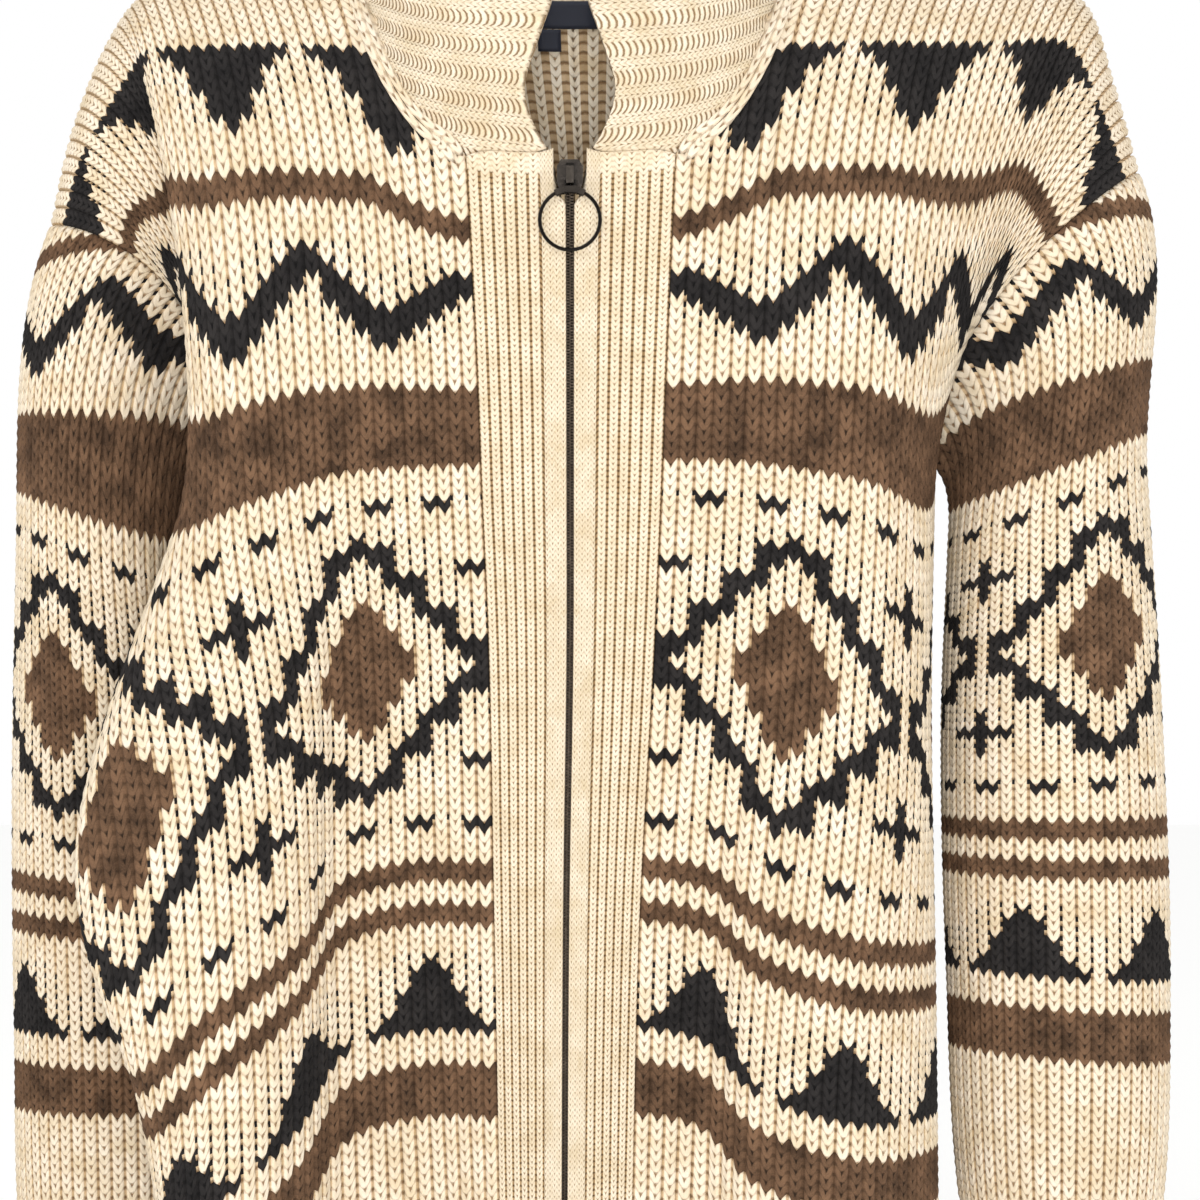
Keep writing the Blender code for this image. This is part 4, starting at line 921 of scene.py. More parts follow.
        # How far the painted shade darkens the creases, and the dark spot of painted shade where the
        # legs meet
        shaded_crease, floor, dot = (0.0, 0.0, 1.0) if self.purl else (0.09, 0.55, 0.1)
        leg_relief_and_shade = add_node(tree, "MapRange", {"interpolation_type": "SMOOTHSTEP", 1: shaded_crease, 2: 0.3,
                                          3: floor, 4: 1.0}, {0: reach})
        up = add_node(tree, "Math", {"operation": "MULTIPLY", 1: 5.0}, {0: along})
        beside = add_node(tree, "Math", {"operation": "MULTIPLY_ADD", 1: 10.0}, {0: across, 2: up})
        notch_shade = add_node(tree, "MapRange", {"interpolation_type": "SMOOTHSTEP", 1: 0.5, 2: 1.6,
                                            3: dot, 4: 1.0}, {0: beside})
        return add_node(tree, "Math", {"operation": "MULTIPLY"}, {0: leg_relief_and_shade, 1: notch_shade})


@dataclass(frozen=True)
class PlatedMetal:
    """Gunmetal plating on cast zinc: dark, with brighter edges that are wear mixed with a painted
    glint, and fine tarnish.
    """

    name: str
    plate: str
    wear_and_glint: str
    roughness: float = 0.38
    tarnish_mm: float = 1.5

    def made(self) -> Material:
        """Build the material.

        Returns:
            A dark metal.
        """
        material, shader = started(self.name, {"Metallic": 1.0})
        tree = material.node_tree
        shape = add_node(tree, "NewGeometry")
        place = add_node(tree, "TexCoord")
        tarnish = add_node(tree, "TexNoise",
                           {"Scale": 1 / (self.tarnish_mm * MM), "Detail": 4.0},
                           {"Vector": place.outputs["Object"]})
        # Painted glint mixed with wear: the pointed edges take the lighter colour
        edge = add_node(tree, "MapRange", {1: 0.5, 2: 0.62}, {0: shape.outputs["Pointiness"]})
        mix = add_node(tree, "Mix", {"data_type": "RGBA", 6: linear(self.plate),
                                               7: linear(self.wear_and_glint)}, {0: edge})
        tree.links.new(mix.outputs[2], shader.inputs["Base Color"])
        rough = add_node(tree, "MapRange",
                         {1: 0.3, 2: 0.7, 3: self.roughness - 0.1, 4: self.roughness + 0.12},
                         {0: tarnish})
        tree.links.new(rough.outputs[0], shader.inputs["Roughness"])
        return material


@dataclass(frozen=True)
class WovenTape:
    """Woven polyester: flat threads at a close pitch, satin or matt."""

    name: str
    thread: str
    gap: str
    pitch_mm: float = 0.8
    roughness: float = 0.8

    def made(self) -> Material:
        """Build the material.

        Returns:
            A woven tape with a fine grid of threads.
        """
        material, shader = started(self.name, {"Roughness": self.roughness, "Sheen Weight": 0.2})
        tree = material.node_tree
        place = add_node(tree, "TexCoord")
        # A band of the wave texture is about 0.314 units wide at a scale of 1.
        waves = [add_node(tree, "TexWave",
                          {"bands_direction": axis, "Scale": 0.314 / (self.pitch_mm * MM)},
                          {"Vector": place.outputs["Object"]}) for axis in ("X", "Z")]
        weave = add_node(tree, "Math", {"operation": "MULTIPLY"},
                         {0: waves[0].outputs["Fac"], 1: waves[1].outputs["Fac"]})
        mix = add_node(tree, "Mix", {"data_type": "RGBA", 6: linear(self.gap),
                                               7: linear(self.thread)}, {0: weave})
        tree.links.new(mix.outputs[2], shader.inputs["Base Color"])
        bump = add_node(tree, "Bump", {"Strength": 0.5, "Distance": 0.15 * MM}, {"Height": weave})
        tree.links.new(bump.outputs[0], shader.inputs["Normal"])
        return material


# --------------------------------------------------------------------------- stitches and charts

class Yarn(IntEnum):
    """Yarns of the body knitting.

    The valley yarn is the cream where it sinks between two ribs, painted darker as shade; the lining
    yarn is the side next to the wearer, painted lighter as light.
    """

    CREAM = 0
    BROWN = 1
    BLACK = 2
    VALLEY_SHADE = 3
    LIT_LINING = 4


class Finish(Enum):
    """Finishes of the whole garment."""

    # Spun and brushed wool: matt legs of yarn, with painted shade in the creases between them
    CREAM = BrushedWool("brushed wool yarn, natural cream", "E4D7C3", "D2BFA0", "8A6A48", relief_mm=0.8)
    BROWN = BrushedWool("brushed wool yarn, moorit brown", "725640", "3E2D20", "22180F", relief_mm=0.6)
    BLACK = BrushedWool("brushed wool yarn, near black", "2B2827", "181616", "0C0B0B", sheen=0.08)
    # The valley copy of the cream: darker, painted shade between the ribs
    VALLEY_SHADE = BrushedWool("brushed wool yarn, cream darkened as painted valley shade", "D0B694", "B89C76", "86694A",
                         purl=True)
    # The inside copy of the cream: lighter, painted light where the inside falls in shade
    LIT_LINING = BrushedWool("brushed wool yarn, cream on the inside", "F8EEDC", "ECDABC", "96764E")
    # The same yarn in a finer gauge: smaller stitches and flatter creases; its valley copy is darker,
    # painted shade between the ribs
    FINE = BrushedWool("brushed wool yarn, fine cream rib", "E0D2BC", "CEBC9D", "947652", row_mm=3.0,
                       relief_mm=0.5)
    FINE_VALLEY_SHADE = BrushedWool("brushed wool yarn, fine rib valleys", "B69A73", "8E724C", "543E28",
                              row_mm=3.0, relief_mm=0.5, purl=True)
    FINE_PURL = BrushedWool("brushed wool yarn, purl side of the collar", "E6DAC6", "D2BE9E", "866842",
                            row_mm=3.0, relief_mm=0.8, purl=True)
    # Plated zinc: near black, with a painted glint mixed with wear on its edges; the teeth's outward
    # faces are lighter, for slider wear and a painted highlight
    TEETH = PlatedMetal("gunmetal plated zip teeth", "070605", "14110E", 0.45)
    RUBBED_AND_HIGHLIGHT = PlatedMetal("gunmetal plated zip teeth, rubbed", "231E19", "352E27", 0.45)
    PULL = PlatedMetal("gunmetal plated zip pull", "131212", "2C2824", 0.32)
    # Woven threads: a flat, even surface beside the wool
    TAPE = WovenTape("woven polyester zip tape", "D9C8A8", "9C8460")
    LABEL = WovenTape("woven satin label, navy", "222A40", "121829", 0.5, 0.6)


def tucked(levels: Array) -> Array:
    """Whether each line lies where one stitch tucks under the next."""
    return np.isclose(levels % 1, 0)[None]


@dataclass(frozen=True)
class Gauge:
    """Size and relief of a column of stitches.

    across: places from the middle of a rib (0) to the middle of a valley (0.5).
    high: height of each place in the middle of a stitch.
    low: height of each place where one stitch tucks under the next.
    climb: how many rows each place lies above the tip of the stitch.
    """

    row: float
    across: tuple[float, ...]
    high: tuple[float, ...]
    low: tuple[float, ...]
    climb: tuple[float, ...]
    welt_sink: tuple[float, float] = (0.4, 0.5)  # on the crests, and that much more in the valleys

    def places(self) -> Array:
        """Places across one rib, from its left valley up to but not with its right one."""
        half = np.array(self.across)
        return np.concatenate([-half[:0:-1], half[:-1]])

    def read(self, values: Sequence[float], place: Array) -> Array:
        """Values of the half rib read at places across the whole rib."""
        return np.interp(np.abs(place), self.across, values)

    def relief(self, places: Array, levels: Array) -> Array:
        """Height of each place on each line."""
        return np.where(tucked(levels), self.read(self.low, places)[:, None],
                        self.read(self.high, places)[:, None])

    def welted(self, places: Array, levels: Array, rows: float) -> Array:
        """Height of each place on each line, flatter on the lowest rows."""
        welt = ease((rows - levels) / WELT_BLEND)[None]
        crest, more = self.welt_sink
        return self.relief(places, levels) - welt * (crest + more * (np.abs(places) > 0.45)[:, None])


CHUNKY = Gauge(5.7, (0.0, 0.2, 0.405, 0.5), (0.55, 1.35, 0.5, -2.3), (-0.15, 0.85, 0.0, -2.8),
               (0.0, 0.38, 0.78, 0.7))

PYRAMIDS = (
    "....#.....",
    "...###....",
    "...###....",
    "..#####...",
    "..#####...",
    ".#######..",
    "#########.",
)
ZIGZAG = (
    "##........",
    "###......#",
    ".###....##",
    "..###..###",
    "...######.",
    "....####..",
    ".....##...",
)
DASHES = ("##..",)
LOZENGE_TOPS = (
    "........#.........",
    "......#####.......",
    "......##.##.......",
    "......#...#.......",
    "....###...###.....",
    "....##.....##.....",
    "....#...o...#.....",
    "..###..ooo..###...",
    "..##...ooo...##...",
    "..#...ooooo...#...",
    "###...ooooo...###.",
    "##...ooooooo...##.",
)
LOZENGES = LOZENGE_TOPS + ("#....ooooooo....#.",) + LOZENGE_TOPS[::-1]
CROSSES = LOZENGE_TOPS[:1] * 2 + LOZENGE_TOPS[1:2] + LOZENGE_TOPS[:1] * 2
BAR = ("o",)


@dataclass(frozen=True)
class Band:
    """A band of colourwork: its lowest row, its chart and how the chart starts."""

    row: int
    chart: tuple[str, ...]
    shift: int = 0


BANDS = (
    Band(12, BAR * 5),
    Band(20, PYRAMIDS),
    Band(30, BAR * 2),
    Band(34, BAR * 2),
    Band(39, DASHES),
    Band(42, LOZENGES),
    Band(43, CROSSES, 9),
    Band(61, CROSSES, 9),
    Band(69, DASHES, 2),
    Band(73, BAR * 7),
    Band(83, ZIGZAG),
    Band(93, BAR * 2),
    Band(98, PYRAMIDS[::-1]),
)


def charted(ribs: Array, rows: Array) -> Array:
    """Yarn of every stitch.

    Args:
        ribs: Rib numbers, counted from where the design is centred.
        rows: Row numbers, counted up from the hem.

    Returns:
        A yarn for each rib and row.
    """
    yarns = np.full((len(ribs), len(rows)), Yarn.CREAM)
    letters = {"#": Yarn.BLACK, "o": Yarn.BROWN}
    for band in BANDS:
        for up, line in enumerate(reversed(band.chart)):
            drawn = np.array([letters.get(letter, -1) for letter in line])
            drawn = drawn[(ribs + band.shift) % len(line)]
            here = (drawn >= 0)[:, None] & (rows == band.row + up)[None]
            yarns = np.where(here, drawn[:, None], yarns)
    return yarns


def valleys(yarns: Array, rows: Array) -> Array:
    """Yarn that shows between each rib and the one before it; where neither brown nor black shows
    there, it is the darker cream that is painted shade.

    A black yarn is carried along its rows, so it also shows as a dot in the valleys near its
    stitches.

    Args:
        yarns: Yarn of each rib and line.
        rows: Row number of each line.

    Returns:
        A yarn for each valley and line, with one valley more than there are ribs.
    """
    dotted = np.append(rows[1:] == rows[:-1], False)
    shown = np.full((len(yarns) + 1, yarns.shape[1]), Yarn.VALLEY_SHADE)
    reach = 3
    for rib in range(len(shown)):
        near = yarns[max(rib - reach, 0):rib + reach]
        beside = yarns[max(rib - 1, 0):rib + 1]
        black = (beside == Yarn.BLACK).all(0) | ((near == Yarn.BLACK).any(0) & dotted)
        brown = (beside == Yarn.BROWN).all(0)
        shown[rib] = np.where(brown, Yarn.BROWN, np.where(black, Yarn.BLACK, Yarn.VALLEY_SHADE))
    return shown


def yarn_faces(yarns: Array, rows: Array, width: int) -> Array:
    """Yarn of every face of the outer skin.

    Args:
        yarns: Yarn of each rib and line.
        rows: Row number of each line.
        width: Faces across a rib. The first and the last of them lie in valleys.

    Returns:
        A yarn for each column of faces and each line.
    """
    sunk = valleys(yarns, rows)
    faces = np.repeat(yarns, width, 0)
    faces[::width] = sunk[:-1]
    faces[width - 1::width] = sunk[1:]
    return faces


def row_numbers(levels: Array) -> Array:
    """Row in which each line of faces lies."""
    return np.floor(0.5 * (levels[1:] + levels[:-1])).astype(int)


def chart_places(columns: Array, lines: Array) -> Array:
    """Chart place of each point, from a number for each column and one for each line."""
    return np.stack(np.broadcast_arrays(columns[:, None], lines[None]), -1)


def ribbed(place: Array, count: int) -> tuple[Array, Array]:
    """Columns of a run of ribs.

    Args:
        place: Places across one rib, from its left valley on.
        count: Number of ribs.

    Returns:
        Each column's place in its rib, and its rib's number. The last column closes the run.
    """
    places = np.append(np.tile(place, count), place[0])
    return places, np.append(np.repeat(np.arange(count), len(place)), count)


def clamped(course: Array, top: Array, foot: float, slack: float) -> tuple[Array, Array, Array, Array]:
    """Clamp each column between the seam above it and the edge below.

    Args:
        course: Courses by column and line, which grow along each column.
        top: Course of the seam above each column.
        foot: Course of the edge below.
        slack: How near to a seam or an edge a line gives way to it.

    Returns:
        The clamped courses, the first and the last line of each column, and which points lie
        on the seam above.
    """
    first = np.maximum((course <= top[:, None] + slack).sum(1) - 1, 0)
    last = np.minimum((course < foot - slack).sum(1), course.shape[1] - 1)
    lines = np.arange(course.shape[1])[None]
    sewn = lines <= first[:, None]
    course = np.where(sewn, top[:, None], course)
    return np.where(lines >= last[:, None], foot, course), first, last, sewn


def sewn_down(rise: Array, sewn: Array | bool = True) -> Array:
    """Heights with the outer skin drawn down where it is sewn on."""
    return np.where(sewn & (rise > INNER_RISE), SEAM_RISE, rise)


@dataclass
class BodyKnit:
    """A front or one half of the back, knitted from hem to shoulder with its welt in one.

    side is 1 for the wearer's left and -1 for the right.
    """

    form: BodyForm
    sleeve: SleeveForm
    collar: CollarForm
    side: int
    back: bool
    gauge: Gauge = CHUNKY
    wall: float = 4.0
    welt_rows: float = 10.0
    back_shift: int = 9
    lean: float = 40.0
    lean_from: float = 200.0
    lean_margin: float = 30.0
    slack: float = 0.9
    probe: tuple[float, float] = (40.0, 0.25)  # how far below the neck ribs are traced, and the step
    # The inner side of the back has every stitch from this row up, where it shows
    fine_rows: float = 84.0
    fine_blend: float = 4.0
    fine_place: tuple[float, ...] = (-0.5, -0.22, 0.0, 0.22)
    # Columns: place from the valley, height in mid stitch, height where it tucks under the next
    fine_relief: tuple = ((0.0, 0.9, 0.0), (0.28, 1.1, 0.5), (0.5, -0.9, -0.7))
    fine_climb: tuple = ((0.0, 0.0), (0.36, 0.8), (0.5, 0.7))
    coarse_relief: float = 0.35

    def reach(self, wales: Array) -> Array:
        """Distance round the body from the zip or from the centre back."""
        return np.abs(2 * self.form.quarter - wales) if self.back else np.abs(wales)

    def levels(self, step: float, fine_above: float = math.inf) -> Array:
        """Row numbers of a skin's lines, from above the shoulder down to below the hem.

        Args:
            step: Rows between lines.
            fine_above: Row above which lines are half a row apart.

        Returns:
            Falling row numbers.
        """
        top = math.ceil(self.form.hem / self.gauge.row) + 1.0
        split = min(fine_above, top)
        return np.concatenate([np.arange(-1.0, split, step), np.arange(split, top, 0.5)])[::-1]

    def leant(self, wales: Array, course: Array) -> Array:
        """Wales where ribs lie once the yoke pulls them outwards, the more the higher they are.

        Args:
            wales: Wales of the ribs in the straight cloth below.
            course: Courses of the same shape.

        Returns:
            The wales there.
        """
        form = self.form
        reach = self.reach(wales)
        inner = 0.0 if self.back else form.placket
        share = np.minimum((reach - inner) / (form.neck_half - inner),
                           (form.quarter - reach) / (form.quarter - form.neck_half - self.lean_margin))
        high = np.clip(1 - course / self.lean_from, 0, 1) ** 2
        pull = self.lean * high * np.clip(share, 0, 1)
        return wales + self.side * (-pull if self.back else pull)

    def starts(self, wales: Array) -> Array:
        """Course on which each leaning rib meets the shoulder seam or the neckline."""
        courses = np.arange(0.0, self.form.neck_depth_front + self.probe[0], self.probe[1])
        grid = np.repeat(courses[None], len(wales), 0)
        lain = self.leant(np.repeat(wales[:, None], len(courses), 1), grid)
        outside = grid < self.form.top_course(lain, self.back)
        highest = np.where(outside.any(1), len(courses) - np.argmax(outside[:, ::-1], 1), 0)
        return courses[np.minimum(highest, len(courses) - 1)]

    def edge_direction(self, wale: float, course: float) -> Array:
        """Direction of the cloth where a wale ends on the shoulder seam or on the neckline."""
        reach = self.reach(wale)
        if reach <= self.form.neck_half:
            return self.collar.neck_normal(self.side, self.collar.neck_place(wale, self.back))
        return self.form.seam_normal(self.side, reach, course)

    def side_direction(self, course: Array) -> Array:
        """Direction of the cloth down its side edge: the armhole, then the side seam."""
        form = self.form
        offset = np.clip(course - form.shoulder_fall, 0, form.armhole)
        arm = self.sleeve.armhole_normal(offset, self.back)
        below = form.seam_normal(self.side, form.quarter, course)
        return np.where((course <= form.armpit + 0.01)[:, None], arm, below)

    def laid(self, wales: Array, levels: Array, climb: Array, rise: Array) -> Laid:
        """Lay a grid of wales and rows on the form.

        Args:
            wales: Wale of each column.
            levels: Row number of each line.
            climb: Rows by which each column's stitches climb.
            rise: Height off the mean face, by column and line.

        Returns:
            The points, and the first and last line of each column.
        """
        form = self.form
        course = form.hem - (levels[None] + climb[:, None]) * self.gauge.row
        top = self.starts(wales)
        course, first, last, sewn = clamped(course, top, form.hem, self.slack)
        grid_wales = self.leant(np.repeat(wales[:, None], len(levels), 1), course)
        normals = form.normal(grid_wales, course, self.back)
        for k, wale in enumerate(wales):
            if abs(self.reach(wale) - form.quarter) < 0.01:
                normals[k] = self.side_direction(course[k])
                rise[k] = sewn_down(rise[k])
            else:
                lain = float(grid_wales[k, first[k]])
                normals[k, first[k]] = self.edge_direction(lain, float(top[k]))
        rise = sewn_down(rise, sewn)
        return form.point(grid_wales, course, self.back) + normals * rise[..., None], first, last

    def outer(self, start: float, ribs: Array) -> Skin:
        """The skin that shows.

        Args:
            start: Wale at which the first rib starts.
            ribs: Chart number of each rib, in the order of the wales.

        Returns:
            The stitches.
        """
        gauge = self.gauge
        place = gauge.places()
        places, number = ribbed(place, len(ribs))
        wales = start + (number + places + 0.5) * self.form.rib
        levels = self.levels(0.5)
        rise = gauge.welted(places, levels, self.welt_rows)
        points, first, last = self.laid(wales, levels, gauge.read(gauge.climb, places), rise)
        rows = row_numbers(levels)
        yarns = yarn_faces(charted(ribs, rows), rows, len(place))
        return knit_skin(points, chart_places(number + places, levels), yarns, first, last)

    def inner(self, start: float, count: int) -> Skin:
        """The skin that faces the wearer. Its ribs stand behind the outer valleys.

        Args:
            start: Wale at which the first rib starts.
            count: Number of ribs.

        Returns:
            The skin.
        """
        place = np.array(self.fine_place if self.back else (-0.5, 0.0))
        places, number = ribbed(place, count)
        wales = start + (number + places + 0.5) * self.form.rib
        levels = self.levels(3.0, self.fine_rows if self.back else math.inf)
        from_crest = 0.5 - np.abs(places)
        high, low = (np.interp(from_crest, column(self.fine_relief, 0), column(self.fine_relief, k))
                     for k in (1, 2))
        shown = ease((levels - self.fine_rows) / self.fine_blend + 1)[None] * self.back
        rise = np.where(tucked(levels) & (shown > 0.5), low[:, None], high[:, None])
        rise = -self.wall - rise * (self.coarse_relief + (1 - self.coarse_relief) * shown)
        climb = np.interp(from_crest, column(self.fine_climb, 0), column(self.fine_climb, 1))
        points, first, last = self.laid(wales, levels, climb * self.back, rise)
        # The inner side takes the lighter cream, painted light where it falls in shade
        yarns = np.full((len(wales) - 1, len(levels) - 1), Yarn.LIT_LINING)
        if self.back:
            # Columns deep between the inner ribs take the darker cream, painted shade
            for deep in (1, 2):
                yarns[deep::len(place)] = Yarn.VALLEY_SHADE
        return knit_skin(points, chart_places(number + places + 0.5, levels), yarns, first, last)

    def piece(self, name: str, finishes: Sequence[Material]) -> Thing:
        """Knit the panel.

        Args:
            name: The object's name.
            finishes: A material for each yarn.

        Returns:
            The piece.
        """
        form = self.form
        left = self.side > 0
        if self.back:
            count = form.ribs_per_quarter
            start = form.quarter if left else 2 * form.quarter
            from_centre = np.arange(count)[::-1] if left else np.arange(count)
            ribs = from_centre + self.back_shift if left else self.back_shift - 1 - from_centre
        else:
            count = form.front_ribs
            start = form.placket if left else -form.quarter
            ribs = np.arange(count) if left else np.arange(count)[::-1]
        return cloth(name, self.outer(start, ribs), self.inner(start, count), finishes)


@dataclass
class SleeveKnit:
    """A sleeve, knitted from its cap to the end of its cuff."""

    form: SleeveForm
    gauge: Gauge = CHUNKY
    ribs: int = 46
    wall: float = 4.0
    welt_rows: float = 12.0
    chart_shift: int = -14
    slack: float = 0.9
    inner_relief: tuple[float, float] = (0.35, -0.3)

    def laid(self, turns: Array, levels: Array, climb: Array, rise: Array) -> Laid:
        """Lay a grid of ribs and rows on the sleeve.

        Args:
            turns: Turn of each column.
            levels: Row number of each line, counted up from the cuff.
            climb: Rows by which each column's stitches climb.
            rise: Height off the mean face, by column and line.

        Returns:
            The points, and the first and last line of each column.
        """
        form = self.form
        distance = form.cuff_end - (levels[None] + climb[:, None]) * self.gauge.row
        offset = np.abs(turns) * form.body.armhole
        distance, first, last, sewn = clamped(distance, form.cap(offset), form.cuff_end, self.slack)
        turn = np.repeat(turns[:, None], len(levels), 1)
        normals = form.normal(turn, distance)
        normals[np.arange(len(turns)), first] = form.armhole_normal(offset, turns < 0)
        rise = sewn_down(rise, sewn)
        return form.point(turn, distance) + normals * rise[..., None], first, last

    def skin(self, place: Array, step: float, inside: bool) -> Skin:
        """One face of the sleeve.

        Args:
            place: Places across each rib that get a column.
            step: Rows between lines.
            inside: Whether it faces the arm.

        Returns:
            The skin.
        """
        gauge = self.gauge
        places, number = (values[:-1] for values in ribbed(place, self.ribs))
        turns = (number + places + 0.5) * 2 / self.ribs - 1
        top = math.ceil(self.form.cuff_end / gauge.row) + 1.0
        levels = np.arange(-1.0, top, step)[::-1]
        charts = chart_places(number + places, levels)
        if inside:
            valley, crest = self.inner_relief
            rise = -self.wall - np.where(np.abs(places) > 0.3, valley, crest)
            rise = np.repeat(rise[:, None], len(levels), 1)
            points, first, last = self.laid(turns, levels, np.zeros(len(places)), rise)
            return knit_skin(points, charts, None, first, last, True)
        rise = gauge.welted(places, levels, self.welt_rows)
        points, first, last = self.laid(turns, levels, gauge.read(gauge.climb, places), rise)
        rows = row_numbers(levels) + self.chart_shift
        yarns = charted(np.arange(self.ribs) - self.ribs // 2, rows)
        yarns[:, rows < self.welt_rows + self.chart_shift] = Yarn.CREAM
        return knit_skin(points, charts, yarn_faces(yarns, rows, len(place)), first, last, True)

    def piece(self, name: str, finishes: Sequence[Material]) -> Thing:
        """Knit the sleeve.

        Args:
            name: The object's name.
            finishes: A material for each yarn.

        Returns:
            The piece.
        """
        outer = self.skin(self.gauge.places(), 0.5, False)
        inner = self.skin(np.array((-0.5, 0.0)), 3.0, True)
        return cloth(name, outer, inner, finishes, outward=self.form.side < 0, closed=True)


@dataclass
class PlacketKnit:
    """A zip band: a plain strip beside the zip, then narrow ribs out to the front's edge."""

    form: BodyForm
    side: int
    row: float = 3.0
    strip: float = 14.0
    strip_wales: int = 4
    ribs: int = 6
    wall: float = 3.4
    sink: float = 0.4
    seam_course: float = 131.5
    chain_half: float = 1.7
    gap: float = 0.3
    slider_half: float = 6.9
    slider_foot: float = 138.0
    closing: float = 9.0
    slack: float = 0.6
    head_course: float = 119.5
    head_near: tuple[float, float] = (17.0, 8.0)  # reach from the zip, rise
    head_far: tuple[float, float, float] = (34.0, 13.0, 4.5)  # start, reach, fall
    fold_blend: float = 3.0
    fold_lift: float = 0.6
    fold_flatness: float = 0.65
    seam_groove: tuple[float, float] = (2.4, 1.1)  # half width, depth
    # A wale of the strip and a rib. Columns: place from its middle, height in mid stitch, height
    # where it tucks under the next, climb in rows
    plain_wale: tuple = ((0.0, 0.15, -0.25, 0.0), (0.26, 0.4, 0.15, 0.5), (0.5, -0.35, -0.4, 0.9))
    rib: tuple = ((0.0, 0.25, -0.2, 0.0), (0.22, 0.65, 0.3, 0.5), (0.38, 0.2, 0.0, 0.9),
                  (0.5, -1.1, -1.3, 0.8))
    inner_columns: tuple[int, ...] = (0, 4, 8, 14, 20, 26, 32, -1)

    def edge(self, course: Array) -> Array:
        """Distance from the centre line to the inner edge, wider beside the slider."""
        beside = self.slider_half + self.gap - self.chain_half
        past = ease((course - self.slider_foot) / self.closing)
        return self.chain_half + self.gap + beside * (1 - past)

    def head(self, distance: Array) -> Array:
        """Course of the seam to the collar, which rises towards the zip."""
        near = np.clip(1 - distance / self.head_near[0], 0, 1)
        far = np.clip((distance - self.head_far[0]) / self.head_far[1], 0, 1)
        return self.head_course - self.head_near[1] * near ** 2 + self.head_far[2] * far ** 2

    def columns(self) -> tuple[Array, Array, Array, Array, Array]:
        """Columns from the zip outwards.

        Returns:
            Distance from the centre line, chart place, height in mid stitch, height where it
            tucks under the next, and climb in rows.
        """
        rows = []
        groups = ((self.strip_wales, 0.0, self.strip / self.strip_wales, self.plain_wale),
                  (self.ribs, self.strip, (self.form.placket - self.strip) / self.ribs, self.rib))
        number = 0
        for count, start, pitch, shape in groups:
            for _ in range(count):
                mirrored = [(-place, *rest) for place, *rest in shape[:0:-1]]
                for place, *rest in [*mirrored, *shape[:-1]]:
                    rows.append((start + (place + 0.5) * pitch, number + place, *rest))
                start += pitch
                number += 1
        rows.append((self.form.placket, number - 0.5, -1.1, -1.1, 0.8))
        return tuple(np.array(values, float) for values in zip(*rows))

    def laid(self, distance: Array, levels: Array, climb: Array, rise: Array) -> Laid:
        """Lay a grid of columns and rows beside the zip.

        Args:
            distance: Distance of each column from the centre line.
            levels: Row number of each line, counted up from the hem.
            climb: Rows by which each column's stitches climb.
            rise: Height off the mean face, by column and line.

        Returns:
            The points, and the first and last line of each column.
        """
        form = self.form
        course = form.hem - (levels[None] + climb[:, None]) * self.row
        widest = float(self.edge(np.array(0.0)))
        head = self.head(np.maximum(distance, widest + (self.strip - widest) * distance / self.strip))
        course, first, last, _ = clamped(course, head, form.hem, self.slack)
        share = np.clip(distance[:, None] / self.strip, 0, 1)
        edge = self.edge(course)
        wale = np.where(share < 1, edge + (self.strip - edge) * share, distance[:, None])
        normals = form.normal(self.side * np.where(share < 1, 0.0, wale), course)
        points = form.point(self.side * wale, course) + normals * (rise - self.sink)[..., None]
        return points, first, last

    def piece(self, name: str, finishes: Sequence[Material]) -> Thing:
        """Knit the band.

        Args:
            name: The object's name.
            finishes: Fine wool, and the darker fine wool painted as shade in its valleys and as a
                shadow line along the seam.

        Returns:
            The piece.
        """
        distance, place, high, low, climb = self.columns()
        top = math.ceil((self.form.hem - float(self.head(np.array(0.0)))) / self.row) + 1.0
        levels = np.arange(-1.0, top, 0.5)[::-1]
        rise = np.where(tucked(levels), low[:, None], high[:, None])
        course = self.form.hem - (levels[None] + climb[:, None]) * self.row
        folded = ease((self.seam_course - course) / self.fold_blend)
        joint = np.clip(1 - np.abs(course - self.seam_course) / self.seam_groove[0], 0, 1)
        rise = (rise * (1 - self.fold_flatness * folded) + self.fold_lift * folded
                - self.seam_groove[1] * joint)
        rise[0] = np.where(tucked(levels)[0], -0.5, -0.4)
        points, first, last = self.laid(distance, levels, climb, rise)
        # Valley columns below the seam, and the rows along the seam, take the darker fine cream:
        # painted shade in the valleys and a painted shadow line at the seam
        deep = ((high < -0.9)[1:] | (high < -0.9)[:-1]).astype(int)
        height = self.form.hem - levels[:-1] * self.row - self.seam_course
        yarns = np.where(np.abs(height[None] - 0.75) < 0.75, 1, deep[:, None] * (height > 0)[None])
        outer = knit_skin(points, chart_places(place, levels), yarns, first, last)
        plain = np.array(self.inner_columns)
        coarse = levels[::12]
        inside = np.full((len(plain), len(coarse)), -self.wall)
        points, first, last = self.laid(distance[plain], coarse, np.zeros(len(plain)), inside)
        inner = knit_skin(points, chart_places(place[plain], coarse), None, first, last)
        return cloth(name, outer, inner, finishes, outward=self.side > 0)


